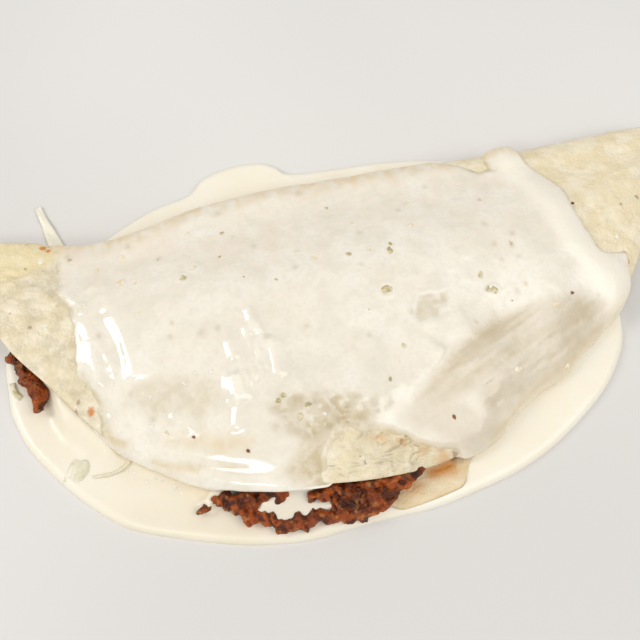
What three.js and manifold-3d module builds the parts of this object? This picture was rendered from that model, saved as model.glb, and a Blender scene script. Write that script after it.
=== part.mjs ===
// A folded flour tortilla with chopped beef, covered in white queso that has run into a pool round it.
// Millimetres, +Z up. X runs along the fold, from the left tip to the right one, and the open rim is
// at -Y. The origin is the middle of the footprint, on the surface that the pool lies on.
import * as THREE from "three";
import { mergeVertices } from "three/addons/utils/BufferGeometryUtils.js";
import Module from "manifold-3d";

const wasm = await Module();
wasm.setup();

// Driving dimensions.
const clearance = 0.3; // left between two solids that touch

const tortilla = {
  halfLength: 150, // a 305 mm tortilla, folded in half
  sheet: 2.3,
  foldRadius: 12, // how deep the round of the fold is, from front to back
  foldHeight: 20, // over both layers, at the back
  crest: 29, // over both layers, at the highest
  tipWidth: 9, // the blunt end of each tip
  tipLift: 7, // how far the tips curl up
  tipGap: 1.6, // between the two layers where nothing fills them
  tipY: 60,
  frontX: -5, // where the open rim comes furthest forward
  rimDepth: 131, // from the line of the tips to there
  columns: 38,
  lowerRows: 3, // of the mesh, from the lower rim to the fold
  foldRows: 6,
  upperRows: 14,
};
const pool = { film: 0.9, level: 3.6, brim: 4, sides: 56 };
const coat = { thickness: 1.7, roll: 1.6, lip: 2.2, columns: 24, rows: 16 };
const beef = { leftColumn: 6, rightColumn: 31 }; // of the tortilla's columns

// Shaping helpers.
const clamp = (value, low, high) => Math.min(high, Math.max(low, value));
const mix = (a, b, t) => a + (b - a) * t;
const smooth = (from, to, value) => {
  const t = clamp((value - from) / (to - from), 0, 1);
  return t * t * (3 - 2 * t);
};
const bell = (value, middle, width) => Math.exp(-(((value - middle) / width) ** 2));

// A repeatable draw from 0 to 1.
function dice(seed) {
  let state = seed;
  return () => {
    state = (state * 16807) % 2147483647;
    return state / 2147483647;
  };
}

// The back of the fold, with the notch where the left tip bends away. Both tips lean back a little.
const tipsBack = (x) => 3 * smooth(-108, -124, x) + 1.5 * smooth(80, 105, x);
const foldY = (x) => 60 + 0.017 * x - 8.5 * bell(x, -98, 38) + tipsBack(x);

// The open rim of the upper layer: a round left side and a straighter right side.
function rimY(x) {
  const left = x < tortilla.frontX;
  const reach = tortilla.halfLength + (left ? tortilla.frontX : -tortilla.frontX);
  const share = Math.min(1, Math.abs(x - tortilla.frontX) / reach);
  const round = (1 - share ** 2) ** (left ? 0.55 : 0.8);
  const corners = 4 * bell(x, -120, 12) + 4.5 * bell(x, 62, 13) - 5 * bell(x, 116, 16);
  const rim = tortilla.tipY - tortilla.rimDepth * round + corners;
  return Math.min(rim, foldY(x) - tortilla.tipWidth);
}

// The lower layer stops just inside the upper one, and shows past it in two places.
const lowerInset = (x) => 2 - 12 * smooth(-14, 4, x) * smooth(38, 26, x) - 7 * bell(x, -111, 9);

const lift = (x) => tortilla.tipLift * smooth(90, 150, Math.abs(x));
const lowerZ = (x) => pool.film + clearance + lift(x);

// How thick the folded tortilla stands at its fold, its crest and its open rim, over both layers.
const closedHeight = 2 * tortilla.sheet + tortilla.tipGap;
const fullness = (x) => (1 - Math.min(1, Math.abs(x / tortilla.halfLength)) ** 2.6) ** 1.1;
const crestHeight = (x) => mix(closedHeight, tortilla.crest, fullness(x));
const foldHeight = (x) => mix(closedHeight, tortilla.foldHeight, fullness(x));
const rimHeight = (x) =>
  closedHeight + 8.5 * bell(x, -28, 44) * smooth(26, 2, x) + 4 * bell(x, -129, 9);

// Mounds and hollows that the filling leaves in the top.
const mounds = [
  { x: -62, y: 8, wide: 34, deep: 26, rise: 1.6 },
  { x: -20, y: -22, wide: 20, deep: 15, rise: -2 },
  { x: 18, y: 14, wide: 34, deep: 26, rise: 1.2 },
  { x: 52, y: -14, wide: 17, deep: 15, rise: -2.6 },
  { x: 76, y: -6, wide: 13, deep: 18, rise: 1.8 },
  { x: -90, y: -10, wide: 14, deep: 18, rise: -1.6 },
  { x: 8, y: -44, wide: 26, deep: 10, rise: 1.4 },
];
const relief = (x, y) =>
  mounds.reduce((sum, m) => sum + m.rise * bell(x, m.x, m.wide) * bell(y, m.y, m.deep), 0);

// The tortilla's outside in the cross-section at x, as [y, z]. run goes from the lower rim, 0, by the
// back of the fold, 1, to the upper rim, 2. Past 2 it turns down over the rim.
const flatRun = 0.86; // where the round of the fold starts
function outside(x, run) {
  const back = foldY(x);
  const upperRim = rimY(x);
  const lowerRim = Math.min(upperRim + lowerInset(x), back - tortilla.tipWidth + 1);
  const deep = Math.min(tortilla.foldRadius, (back - upperRim) * 0.45);
  const half = foldHeight(x) / 2;
  const low = lowerZ(x);
  if (run < flatRun) return [mix(lowerRim, back - deep, run / flatRun), low];
  if (run <= 2 - flatRun) {
    const turn = (((run - 1) / (1 - flatRun)) * Math.PI) / 2;
    return [back - deep + deep * Math.cos(turn), low + half + half * Math.sin(turn)];
  }
  const t = (run - 2 + flatRun) / flatRun;
  const y = mix(back - deep, upperRim, t);
  const rise = (crestHeight(x) - 2 * half) * smooth(0, 0.4, t);
  const toRim = clamp((t - 0.2) / 0.8, 0, 1);
  const fall = (crestHeight(x) - rimHeight(x)) * (1 - (1 - toRim ** 2.3) ** 0.8);
  const within = fullness(x) * smooth(0, 0.15, t) * smooth(1, 0.8, t);
  const over = Math.max(0, upperRim - y);
  return [y, low + 2 * half + rise - fall + relief(x, y) * within - 0.9 * over];
}

// A point of that outside, moved out of the sheet by a distance.
function skin(x, run, away) {
  const step = 0.004;
  const [y, z] = outside(x, run);
  const before = outside(x, run - step);
  const after = outside(x, run + step);
  const along = new THREE.Vector2(after[0] - before[0], after[1] - before[1]).normalize();
  return new THREE.Vector3(x, y + along.y * away, z - along.x * away);
}

// The mesh lines of the sheet: columns along the fold, closer at the tips, and rows round it.
const columnX = (column) => tortilla.halfLength * Math.sin((column / tortilla.columns - 0.5) * Math.PI);
const foldRow = tortilla.lowerRows + tortilla.foldRows / 2;
const rows = tortilla.lowerRows + tortilla.foldRows + tortilla.upperRows;
function rowRun(row) {
  if (row < tortilla.lowerRows) return (flatRun * row) / tortilla.lowerRows;
  const past = row - tortilla.lowerRows - tortilla.foldRows;
  if (past <= 0) return 2 - flatRun + (2 * (1 - flatRun) * past) / tortilla.foldRows;
  return mix(2 - flatRun, 2, past / tortilla.upperRows);
}

// A closed solid between two grids of points, stitched round their edges. Seen from above the top grid,
// the second number turns anticlockwise from the first.
function slab(firsts, seconds, top, bottom) {
  const points = [];
  const index = [];
  for (const side of [top, bottom])
    for (let i = 0; i <= firsts; i++)
      for (let j = 0; j <= seconds; j++) points.push(...side(i, j).toArray());
  const upper = (i, j) => i * (seconds + 1) + j;
  const lower = (i, j) => (firsts + 1) * (seconds + 1) + upper(i, j);
  const quad = (a, b, c, d) => index.push(a, b, c, a, c, d);
  for (let i = 0; i < firsts; i++)
    for (let j = 0; j < seconds; j++) {
      quad(upper(i, j), upper(i + 1, j), upper(i + 1, j + 1), upper(i, j + 1));
      quad(lower(i, j), lower(i, j + 1), lower(i + 1, j + 1), lower(i + 1, j));
    }
  for (let i = 0; i < firsts; i++) {
    quad(upper(i, 0), lower(i, 0), lower(i + 1, 0), upper(i + 1, 0));
    quad(upper(i, seconds), upper(i + 1, seconds), lower(i + 1, seconds), lower(i, seconds));
  }
  for (let j = 0; j < seconds; j++) {
    quad(upper(0, j), upper(0, j + 1), lower(0, j + 1), lower(0, j));
    quad(upper(firsts, j), lower(firsts, j), lower(firsts, j + 1), upper(firsts, j + 1));
  }
  const geometry = new THREE.BufferGeometry();
  geometry.setAttribute("position", new THREE.Float32BufferAttribute(points, 3));
  geometry.setIndex(index);
  return geometry;
}

// Into and out of manifold-3d, for cuts and joins.
function solid(geometry) {
  const bare = geometry.clone();
  bare.deleteAttribute("normal");
  bare.deleteAttribute("uv");
  const merged = mergeVertices(bare, 1e-4);
  const vertProperties = merged.getAttribute("position").array;
  const triVerts = new Uint32Array(merged.index.array);
  return new wasm.Manifold(new wasm.Mesh({ numProp: 3, vertProperties, triVerts }));
}
function geometryOf(manifold) {
  const { vertProperties, triVerts } = manifold.getMesh();
  const geometry = new THREE.BufferGeometry();
  geometry.setAttribute("position", new THREE.Float32BufferAttribute(vertProperties, 3));
  geometry.setIndex(new THREE.BufferAttribute(triVerts, 1));
  return geometry;
}
const largest = (manifold) =>
  manifold.decompose().reduce((best, piece) => (piece.volume() > best.volume() ? piece : best));

// The folded sheet. spare moves every face out by that much, for cutting its neighbours.
function tortillaSheet(spare = 0) {
  const share = (spare / 100) * 1.2; // past each rim, about spare at the full width
  const run = (row) => mix(-share, 2 + share, rowRun(row) / 2);
  return slab(
    rows,
    tortilla.columns,
    (row, column) => skin(columnX(column), run(row), spare),
    (row, column) => skin(columnX(column), run(row), -tortilla.sheet - spare),
  );
}

// The beef that fills the fold, up to just inside the rim.
const inward = -tortilla.sheet - clearance;
const beefInside = () =>
  slab(
    rows - foldRow - 2,
    beef.rightColumn - beef.leftColumn,
    (step, column) =>
      skin(columnX(beef.leftColumn + column), rowRun(foldRow + 1 + step), inward),
    (step, column) =>
      skin(columnX(beef.leftColumn + column), 2 - rowRun(foldRow + 1 + step), inward),
  );

// Where the queso lies on the upper layer: its left and right edges, and the bare patch at the front.
const coatLeft = (s) => -115.5 + 11 * smooth(0.28, 0.46, s) + 1.5 * smooth(0.6, 1, s);
const coatRight = (s) =>
  84 + 12.5 * smooth(0, 0.36, s) + 5.5 * smooth(0.4, 0.7, s) + 12 * smooth(0.66, 0.86, s);
const bareFront = (x) => 16.5 * smooth(-30, -14, x) * clamp((32 - x) / 29, 0, 1) ** 1.3;

// The queso on top: thinner at its edges, with a thick roll along its right one and a lip over the rim.
// It reaches into the sheet, which is cut out of it below.
function quesoCoat(spare = 0) {
  const face = (s, c, away) => {
    const x = mix(coatLeft(s) - spare, coatRight(s) + spare, c);
    const past = coat.lip * smooth(6, 0, bareFront(x)) - bareFront(x) + spare;
    const front = 2 + (past * flatRun) / (foldY(x) - rimY(x));
    const edge = Math.min(s, 1 - s, c, 1 - c);
    const roll = coat.roll * smooth(68, 84, x) * smooth(0.2, 0.06, 1 - c) * smooth(0, 0.05, edge);
    const deep = coat.thickness * mix(0.5, 1, smooth(0, 0.08, edge)) + roll;
    return skin(x, mix(1.04, front, s), away(deep));
  };
  return slab(
    coat.rows,
    coat.columns,
    (i, j) => face(i / coat.rows, j / coat.columns, (deep) => clearance + deep + spare),
    (i, j) => face(i / coat.rows, j / coat.columns, () => -1 - spare),
  );
}

// One crumb of chopped beef: a lopsided lump.
function crumb(size, [x, y, z], roll) {
  const geometry = new THREE.OctahedronGeometry(size, 1);
  const merged = mergeVertices(geometry.deleteAttribute("normal").deleteAttribute("uv"), 1e-3);
  const position = merged.getAttribute("position");
  for (let i = 0; i < position.count; i++) {
    const grow = 0.86 + 0.3 * roll();
    position.setXYZ(i, position.getX(i) * grow, position.getY(i) * grow, position.getZ(i) * grow);
  }
  merged.scale(1.15, 0.85, 0.72);
  merged.rotateZ(roll() * Math.PI);
  merged.rotateX((roll() - 0.5) * 0.8);
  return merged.translate(x, y, z);
}

// The strips of chopped beef that show outside the rim. Each path is in plan, at one height.
const strips = [
  {
    path: [[-64, -56], [-50, -60], [-36, -62.5], [-20, -64.5], [-6, -65.5], [6, -64]],
    count: 8,
    size: 4.8,
    z: 8,
  },
  {
    path: [[-54.5, -71], [-50, -74], [-46.5, -75.4], [-40.5, -79], [-35.5, -78.8]],
    count: 7,
    size: 3.6,
    z: 6,
  },
  {
    path: [[-31, -78.2], [-21, -78.6], [-16, -79.6], [-10, -79.2], [-4, -77.2], [1.5, -75]],
    count: 9,
    size: 3.8,
    z: 5.7,
  },
  {
    path: [[-19, -76], [-13, -75.6], [-7, -74.8], [-1, -73], [5, -71.2], [9.5, -69.8]],
    count: 6,
    size: 4.2,
    z: 7,
  },
  {
    path: [[-28.6, -71.4], [-20, -71.4], [-14, -72], [-2, -70.8], [5, -69.6], [11, -68.6]],
    count: 9,
    size: 3.1,
    z: 9,
  },
  {
    path: [[-24, -68.6], [-14, -68.4], [-4, -68], [5, -67]],
    count: 5,
    size: 3.9,
    z: 8.2,
  },
  {
    path: [[-63.5, -64.8], [-60, -65.6], [-56.5, -66.2]],
    count: 3,
    size: 3.7,
    z: 7,
  },
  {
    path: [[-60, -67.4], [-57, -69.2], [-55, -71.2]],
    count: 3,
    size: 3.4,
    z: 6.4,
  },
  {
    path: [[-55, -67.2], [-51.4, -66], [-47, -66.2], [-42.4, -66.8], [-39.5, -67.2]],
    count: 5,
    size: 3.8,
    z: 8,
  },
  {
    path: [[-66, -63.8], [-67.4, -65.6], [-68.6, -67]],
    count: 3,
    size: 3,
    z: 5.4,
  },
  {
    path: [[-135, 7], [-133, 2.5], [-130, -3], [-127, -10], [-125.2, -14]],
    count: 7,
    size: 4,
    z: 6.6,
  },
  {
    path: [[-130, 0], [-127, -6], [-124.5, -10]],
    count: 3,
    size: 4,
    z: 6.8,
  },
];
function crumbs(spare = 0) {
  const roll = dice(41);
  const jitter = (reach) => (roll() - 0.5) * reach;
  return strips.flatMap(({ path, count, size, z }) => {
    const curve = new THREE.CatmullRomCurve3(path.map(([x, y]) => new THREE.Vector3(x, y, z)));
    return Array.from({ length: count }, (_, i) => {
      const at = curve.getPoint(i / (count - 1));
      const grown = size * (0.85 + 0.3 * roll()) + spare;
      const place = [at.x + jitter(2), at.y + jitter(2), at.z + jitter(1.6)];
      return solid(crumb(grown, place, roll));
    });
  });
}

// The edge of the pool on the surface it lies on, anticlockwise from the left end.
const poolEdge = [
  [-138.5, 11], [-139, -6], [-137.5, -17], [-132, -30.5], [-121.5, -45.3], [-111, -57], [-97.5, -68],
  [-79.5, -75.2], [-58, -81.6], [-40, -84.5], [-29, -84.8], [-19.5, -83.8], [-10, -83], [4, -82.5],
  [15, -82], [31, -79], [50.5, -74], [69, -65.5], [90, -51], [102, -38], [108.5, -25], [109.5, -8],
  [103, 20], [88, 46], [66, 64.5], [52, 71], [29, 74.2], [6, 74.8], [-12, 76.2], [-18, 81], [-24, 84.2],
  [-37, 84.5], [-50, 80.5], [-58, 73], [-75, 68], [-93, 58.5], [-108, 48], [-126, 33],
];
function quesoPool() {
  const inner = pool.brim; // the round of the edge stands outside the extruded outline
  const curve = new THREE.CatmullRomCurve3(
    poolEdge.map(([x, y]) => new THREE.Vector3(x, y, 0)),
    true,
  );
  const outline = new THREE.Shape(curve.getSpacedPoints(pool.sides).slice(0, -1));
  const geometry = new THREE.ExtrudeGeometry(outline, {
    depth: 0.01,
    bevelSize: inner,
    bevelOffset: -inner,
    bevelThickness: pool.level,
    bevelSegments: 3,
  });
  const ground = new THREE.BoxGeometry(400, 300, 2 * pool.level).translate(0, 0, pool.level);
  return solid(geometry).intersect(solid(ground));
}

// Shreds of lettuce: thin wavy strips along a path of [x, y, z], each with its widths at both ends.
const lettuce = [
  {
    path: [[-115, 55, 0.9], [-119, 67, 0.9], [-123, 80, 0.9]],
    widths: [6, 2.5],
    thick: 0.9,
    wave: 0.3,
  },
  {
    path: [[-117.5, -41.5, 4.7], [-113.5, -43, 4.7], [-109.5, -44.5, 4.7]],
    widths: [7, 8.5],
    thick: 1.2,
    wave: 0.2,
  },
  {
    path: [[-108.5, -46.8, 4.5], [-103, -47.2, 4.5], [-97.5, -46, 4.5], [-93.5, -41.5, 4.5]],
    widths: [1.6, 1.6],
    thick: 0.8,
    wave: 0.2,
  },
  {
    path: [[-109, -29, 6.3], [-105, -31, 5.8], [-100.8, -34.6, 5.3]],
    widths: [1.2, 1.6],
    thick: 0.8,
    wave: 0.1,
  },
  {
    path: [[-136.5, -3, 4.4], [-135.5, -7, 4.4], [-133.5, -10, 4.4]],
    widths: [2.4, 2.4],
    thick: 0.9,
    wave: 0.1,
  },
];
const shredSteps = 8;
function shred({ path, widths, thick, wave }) {
  const curve = new THREE.CatmullRomCurve3(path.map((point) => new THREE.Vector3(...point)));
  const place = (s, c, side) => {
    const at = curve.getPoint(c);
    const across = curve.getTangent(c).cross(new THREE.Vector3(0, 0, 1)).normalize();
    const half = mix(widths[0], widths[1], c) / 2;
    const rise = wave * Math.sin(c * 11 + s * 2) + (side * thick) / 2;
    return at.addScaledVector(across, (2 * s - 1) * half).add(new THREE.Vector3(0, 0, rise));
  };
  return slab(
    1,
    shredSteps,
    (i, j) => place(i, j / shredSteps, 1),
    (i, j) => place(i, j / shredSteps, -1),
  );
}

// Cuts and joins.
const body = solid(tortillaSheet());
const spareBody = solid(tortillaSheet(clearance));
const topCoat = largest(solid(quesoCoat()).subtract(spareBody));
const outer = wasm.Manifold.union(crumbs())
  .subtract(spareBody)
  .subtract(solid(quesoCoat(clearance)));
const filling = largest(solid(beefInside()).add(outer));
const puddle = largest(
  quesoPool()
    .subtract(spareBody)
    .subtract(wasm.Manifold.union(crumbs(clearance))),
);

const paint = (color, roughness) =>
  new THREE.MeshStandardMaterial({ color, roughness, metalness: 0, flatShading: true });
const materials = {
  tortilla: paint("#ecdfc0", 0.75),
  beef: paint("#7d4328", 0.55),
  queso: paint("#f7f0de", 0.2),
  lettuce: paint("#dfe6bd", 0.35),
};

const part = new THREE.Group();
function add(name, geometry, material) {
  const mesh = new THREE.Mesh(geometry, material);
  mesh.name = name;
  part.add(mesh);
}
add("tortilla", geometryOf(body), materials.tortilla);
add("beef_filling", geometryOf(filling), materials.beef);
add("queso_coat", geometryOf(topCoat), materials.queso);
add("queso_pool", geometryOf(puddle), materials.queso);
lettuce.forEach((piece, i) => add(`lettuce_${i + 1}`, shred(piece), materials.lettuce));

export default part;
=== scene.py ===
import math

import bpy
import numpy as np
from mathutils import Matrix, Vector


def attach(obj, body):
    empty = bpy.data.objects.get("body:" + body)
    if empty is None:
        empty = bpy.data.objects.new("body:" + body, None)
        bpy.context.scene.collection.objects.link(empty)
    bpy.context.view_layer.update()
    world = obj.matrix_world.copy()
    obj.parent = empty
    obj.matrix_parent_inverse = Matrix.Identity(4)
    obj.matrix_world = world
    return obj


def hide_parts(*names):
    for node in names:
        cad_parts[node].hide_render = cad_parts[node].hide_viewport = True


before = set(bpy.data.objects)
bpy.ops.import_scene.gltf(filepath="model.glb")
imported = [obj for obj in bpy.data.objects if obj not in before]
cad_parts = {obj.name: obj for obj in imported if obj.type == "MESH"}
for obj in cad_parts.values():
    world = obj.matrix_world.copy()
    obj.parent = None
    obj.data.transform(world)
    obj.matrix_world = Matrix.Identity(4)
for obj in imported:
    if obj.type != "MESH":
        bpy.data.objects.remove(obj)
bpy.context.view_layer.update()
print("frame loaded:", len(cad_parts), "solids")

# A quesadilla: a folded flour tortilla over chopped beef, smothered in white queso, in its pool of queso.
# Shapes are worked out in millimetres, +Z up, X along the fold and the open rim at -Y.
mm = 0.001
scene = bpy.context.scene


def mix(a, b, t):
    return a + (b - a) * t


def smooth(low, high, value):
    t = np.clip((value - low) / (high - low), 0, 1)
    return t * t * (3 - 2 * t)


def bell(value, middle, width):
    return np.exp(-(((value - middle) / width) ** 2))


def ramp(low, high, value):  # nearly straight from 0 to 1, with small rounds at its ends
    return mix(np.clip((value - low) / (high - low), 0, 1), smooth(low, high, value), 0.4)


def grain(x, y, cell, seed):  # smooth random relief from -1 to 1, with lumps of the cell's size
    table = np.random.default_rng(seed).uniform(-1, 1, (127, 127))
    u, v = x / cell + 41.3, y / cell + 57.9
    i, j = np.floor(u).astype(int), np.floor(v).astype(int)
    fu, fv = smooth(0, 1, u - i), smooth(0, 1, v - j)
    near = mix(table[i % 127, j % 127], table[(i + 1) % 127, j % 127], fu)
    far = mix(table[i % 127, (j + 1) % 127], table[(i + 1) % 127, (j + 1) % 127], fu)
    return mix(near, far, fv)


def pathDistance(x, y, path):  # from each point to a line through the path's points
    best = np.full(np.shape(x), 1e9)
    for (ax, ay), (bx, by) in zip(path[:-1], path[1:]):
        length = (bx - ax) ** 2 + (by - ay) ** 2
        t = np.clip(((x - ax) * (bx - ax) + (y - ay) * (by - ay)) / length, 0, 1)
        best = np.minimum(best, np.hypot(x - ax - t * (bx - ax), y - ay - t * (by - ay)))
    return best


def sided(x, y, path):  # distance from a line, positive on its left-hand side, and how far past its ends
    best = np.full(np.shape(x), 1e9)
    side, past = np.zeros(np.shape(x)), np.zeros(np.shape(x))
    for k, ((ax, ay), (bx, by)) in enumerate(zip(path[:-1], path[1:])):
        length = math.hypot(bx - ax, by - ay)
        t = ((x - ax) * (bx - ax) + (y - ay) * (by - ay)) / length**2
        inside = np.clip(t, 0, 1)
        distance = np.hypot(x - ax - inside * (bx - ax), y - ay - inside * (by - ay))
        across = ((bx - ax) * (y - ay) - (by - ay) * (x - ax)) / length
        beyond = np.where((t < 0) & (k == 0), -t, np.where((t > 1) & (k == len(path) - 2), t - 1, 0)) * length
        value = np.where(beyond > 0, across, np.sign(across) * distance)
        near = distance < best
        side, past = np.where(near, value, side), np.where(near, beyond, past)
        best = np.minimum(best, distance)
    return side, past


def insideDepth(x, y, outline):  # how far inside a closed outline, negative outside it
    closed = outline + outline[:1]
    inside = np.zeros(np.shape(x), bool)
    for (ax, ay), (bx, by) in zip(closed[:-1], closed[1:]):
        crosses = (ay > y) != (by > y)
        inside ^= crosses & (x < ax + (bx - ax) * (y - ay) / ((by - ay) or 1e-9))
    return np.where(inside, 1, -1) * pathDistance(x, y, closed)


def within(x, y, outline, low, high):  # 0 outside an outline to 1 inside it, over a border from low to high
    return smooth(low, high, insideDepth(x, y, outline))


def nearLine(x, y, path, wide):  # 1 on a line through the path's points, fading out on both sides
    return bell(pathDistance(x, y, path), 0, wide)


def roundCurve(points, count):  # a closed Catmull-Rom curve through the points
    p = np.array(points, float)
    t = np.linspace(0, len(p), count, endpoint=False)
    i = t.astype(int)
    f = (t - i)[:, None]
    a, b, c, d = (p[(i + k) % len(p)] for k in (-1, 0, 1, 2))
    return 0.5 * (2 * b + (c - a) * f + (2 * a - 5 * b + 4 * c - d) * f**2 + (3 * b - a - 3 * c + d) * f**3)


# The folded tortilla, as the frame's solids have it.
tortilla = {
    "halfLength": 150,
    "sheet": 2.3,
    "foldRadius": 12,
    "foldHeight": 20,
    "crest": 29,
    "tipWidth": 9,
    "tipLift": 7,
    "tipGap": 1.6,
    "tipY": 60,
    "frontX": -5,
    "rimDepth": 131,
    "flatRun": 0.86,
    "runLength": 118,  # of sheet to one unit of run, for its patterns
    "rimLength": 130,  # the same near the rims, for their rounded edges
    "columns": 300,
    "rows": (40, 22, 120),  # of the lower layer, the fold and the upper layer
}
pool = {"film": 0.9, "level": 3.6, "brim": 4.0}
clearance = 0.3
closedHeight = 2 * tortilla["sheet"] + tortilla["tipGap"]
mounds = [  # x, y, half width, half depth, rise
    (-62, 8, 34, 26, 1.6),
    (-20, -22, 20, 15, -2),
    (18, 14, 34, 26, 1.2),
    (52, -14, 17, 15, -2.6),
    (76, -6, 13, 18, 1.8),
    (-90, -10, 14, 18, -1.6),
    (8, -44, 26, 10, 1.4),
]


def foldY(x):
    tipsBack = 3 * smooth(-108, -124, x) + 1.5 * smooth(80, 105, x)
    return 60 + 0.017 * x - 8.5 * bell(x, -98, 38) + tipsBack


def rimY(x):
    front = tortilla["frontX"]
    left = x < front
    reach = tortilla["halfLength"] + np.where(left, front, -front)
    share = np.minimum(1, np.abs(x - front) / reach)
    sides = (1 - share**2) ** np.where(left, 0.55, 0.8)
    corners = 4 * bell(x, -120, 12) + 4.5 * bell(x, 62, 13) - 5 * bell(x, 116, 16)
    rim = tortilla["tipY"] - tortilla["rimDepth"] * sides + corners
    return np.minimum(rim, foldY(x) - tortilla["tipWidth"])


def lowerRimY(x):
    inset = 2 - 12 * smooth(-14, 4, x) * smooth(38, 26, x) - 7 * bell(x, -111, 9)
    return np.minimum(rimY(x) + inset, foldY(x) - tortilla["tipWidth"] + 1)


def fullness(x):
    return (1 - np.minimum(1, np.abs(x / tortilla["halfLength"])) ** 2.6) ** 1.1


def lowerZ(x):
    return pool["film"] + clearance + tortilla["tipLift"] * smooth(90, 150, np.abs(x))


def rimHeight(x):
    return closedHeight + 8.5 * bell(x, -28, 44) * smooth(26, 2, x) + 4 * bell(x, -129, 9)


def outside(x, run):  # run is 0 at the lower rim, 1 at the fold's back and 2 at the upper rim
    flat = tortilla["flatRun"]
    back, rim, low = foldY(x), rimY(x), lowerZ(x)
    deep = np.minimum(tortilla["foldRadius"], (back - rim) * 0.45)
    crest = mix(closedHeight, tortilla["crest"], fullness(x))
    half = mix(closedHeight, tortilla["foldHeight"], fullness(x)) / 2
    turn = np.clip((run - 1) / (1 - flat), -1, 1) * math.pi / 2
    t = (run - 2 + flat) / flat
    yTop = mix(back - deep, rim, t)
    toRim = np.clip((t - 0.2) / 0.8, 0, 1)
    fall = (crest - rimHeight(x)) * (1 - (1 - toRim**2.3) ** 0.8)
    middle = fullness(x) * smooth(0, 0.15, t) * smooth(1, 0.8, t)
    relief = sum(rise * bell(x, mx, wide) * bell(yTop, my, reach) for mx, my, wide, reach, rise in mounds)
    zTop = low + 2 * half + (crest - 2 * half) * smooth(0, 0.4, t) - fall + relief * middle
    zTop = zTop - 0.9 * np.maximum(0, rim - yTop)
    y = np.where(run < flat, mix(lowerRimY(x), back - deep, run / flat), back - deep + deep * np.cos(turn))
    z = np.where(run < flat, low, low + half + half * np.sin(turn))
    return np.where(run > 2 - flat, yTop, y), np.where(run > 2 - flat, zTop, z)


def skin(x, run, away):  # a point that far outside the sheet's outer face
    step = 0.004
    y, z = outside(x, run)
    y0, z0 = outside(x, run - step)
    y1, z1 = outside(x, run + step)
    length = np.hypot(y1 - y0, z1 - z0)
    return np.stack([x, y + (z1 - z0) / length * away, z - (y1 - y0) / length * away], -1)


def finishPiece(obj, nodes, material):
    obj.data.materials.clear()
    obj.data.materials.append(material)
    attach(obj, "root")
    if nodes:
        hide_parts(*nodes)
    print("piece", obj.name, len(obj.data.polygons), "faces")
    return obj


def newObject(name, points, faces, values=None):
    mesh = bpy.data.meshes.new(name)
    mesh.from_pydata((np.asarray(points) * mm).tolist(), [], [list(face) for face in faces])
    for key, numbers in (values or {}).items():
        attribute = mesh.attributes.new(key, "FLOAT", "POINT")
        attribute.data.foreach_set("value", np.asarray(numbers, np.float32).ravel())
    mesh.shade_smooth()
    obj = bpy.data.objects.new(name, mesh)
    scene.collection.objects.link(obj)
    return obj


def closedSlab(name, top, bottom, values=None):  # two grids of points, stitched round their edges
    rows, columns = top.shape[:2]
    number = np.arange(rows * columns).reshape(rows, columns)
    under = number + rows * columns
    quads = [
        np.stack([number[:-1, :-1], number[1:, :-1], number[1:, 1:], number[:-1, 1:]], -1),
        np.stack([under[:-1, :-1], under[:-1, 1:], under[1:, 1:], under[1:, :-1]], -1),
        np.stack([number[:-1, 0], under[:-1, 0], under[1:, 0], number[1:, 0]], -1),
        np.stack([number[:-1, -1], number[1:, -1], under[1:, -1], under[:-1, -1]], -1),
        np.stack([number[0, :-1], number[0, 1:], under[0, 1:], under[0, :-1]], -1),
        np.stack([number[-1, :-1], under[-1, :-1], under[-1, 1:], number[-1, 1:]], -1),
    ]
    faces = np.concatenate([q.reshape(-1, 4) for q in quads])
    points = np.concatenate([top.reshape(-1, 3), bottom.reshape(-1, 3)])
    both = {key: np.concatenate([v.ravel(), v.ravel()]) for key, v in (values or {}).items()}
    return newObject(name, points, faces, both)


def linear(hexColour):
    parts = [int(hexColour[i:i + 2], 16) / 255 for i in (1, 3, 5)]
    return tuple(c / 12.92 if c < 0.04045 else ((c + 0.055) / 1.055) ** 2.4 for c in parts) + (1.0,)


def addNode(tree, kind, inputs=None, **settings):
    node = tree.nodes.new(kind)
    for key, value in settings.items():
        setattr(node, key, value)
    for key, value in (inputs or {}).items():
        if isinstance(value, bpy.types.NodeSocket):
            tree.links.new(value, node.inputs[key])
        else:
            node.inputs[key].default_value = value
    return node


def newMaterial(name, *stored):  # and what it reads: the place on the object, and numbers stored on the mesh
    material = bpy.data.materials.new(name)
    material.use_nodes = True
    tree = material.node_tree
    read = {key: addNode(tree, "ShaderNodeAttribute", attribute_name=key).outputs["Fac"] for key in stored}
    read["where"] = addNode(tree, "ShaderNodeTexCoord").outputs["Object"]
    return material, tree, tree.nodes["Principled BSDF"], read


def noiseShade(tree, where, sizeMm, detail=2.0, low=0.35, high=0.65):  # 0 to 1, spots about sizeMm wide
    inputs = {"Vector": where, "Scale": 1 / (sizeMm * mm), "Detail": detail}
    noise = addNode(tree, "ShaderNodeTexNoise", inputs).outputs[0]
    inputs = {"Value": noise, "From Min": low, "From Max": high}
    return addNode(tree, "ShaderNodeMapRange", inputs, interpolation_type="SMOOTHSTEP").outputs[0]


def layerColours(tree, colour, layers):  # each hex colour over those before, by its share or two multiplied
    colour = linear(colour) if isinstance(colour, str) else colour
    for share, over in layers:
        if isinstance(share, tuple):
            inputs = dict(enumerate(share))
            share = addNode(tree, "ShaderNodeMath", inputs, operation="MULTIPLY", use_clamp=True).outputs[0]
        inputs = {0: share, 6: colour, 7: linear(over)}
        colour = addNode(tree, "ShaderNodeMix", inputs, data_type="RGBA").outputs[2]
    return colour


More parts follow.
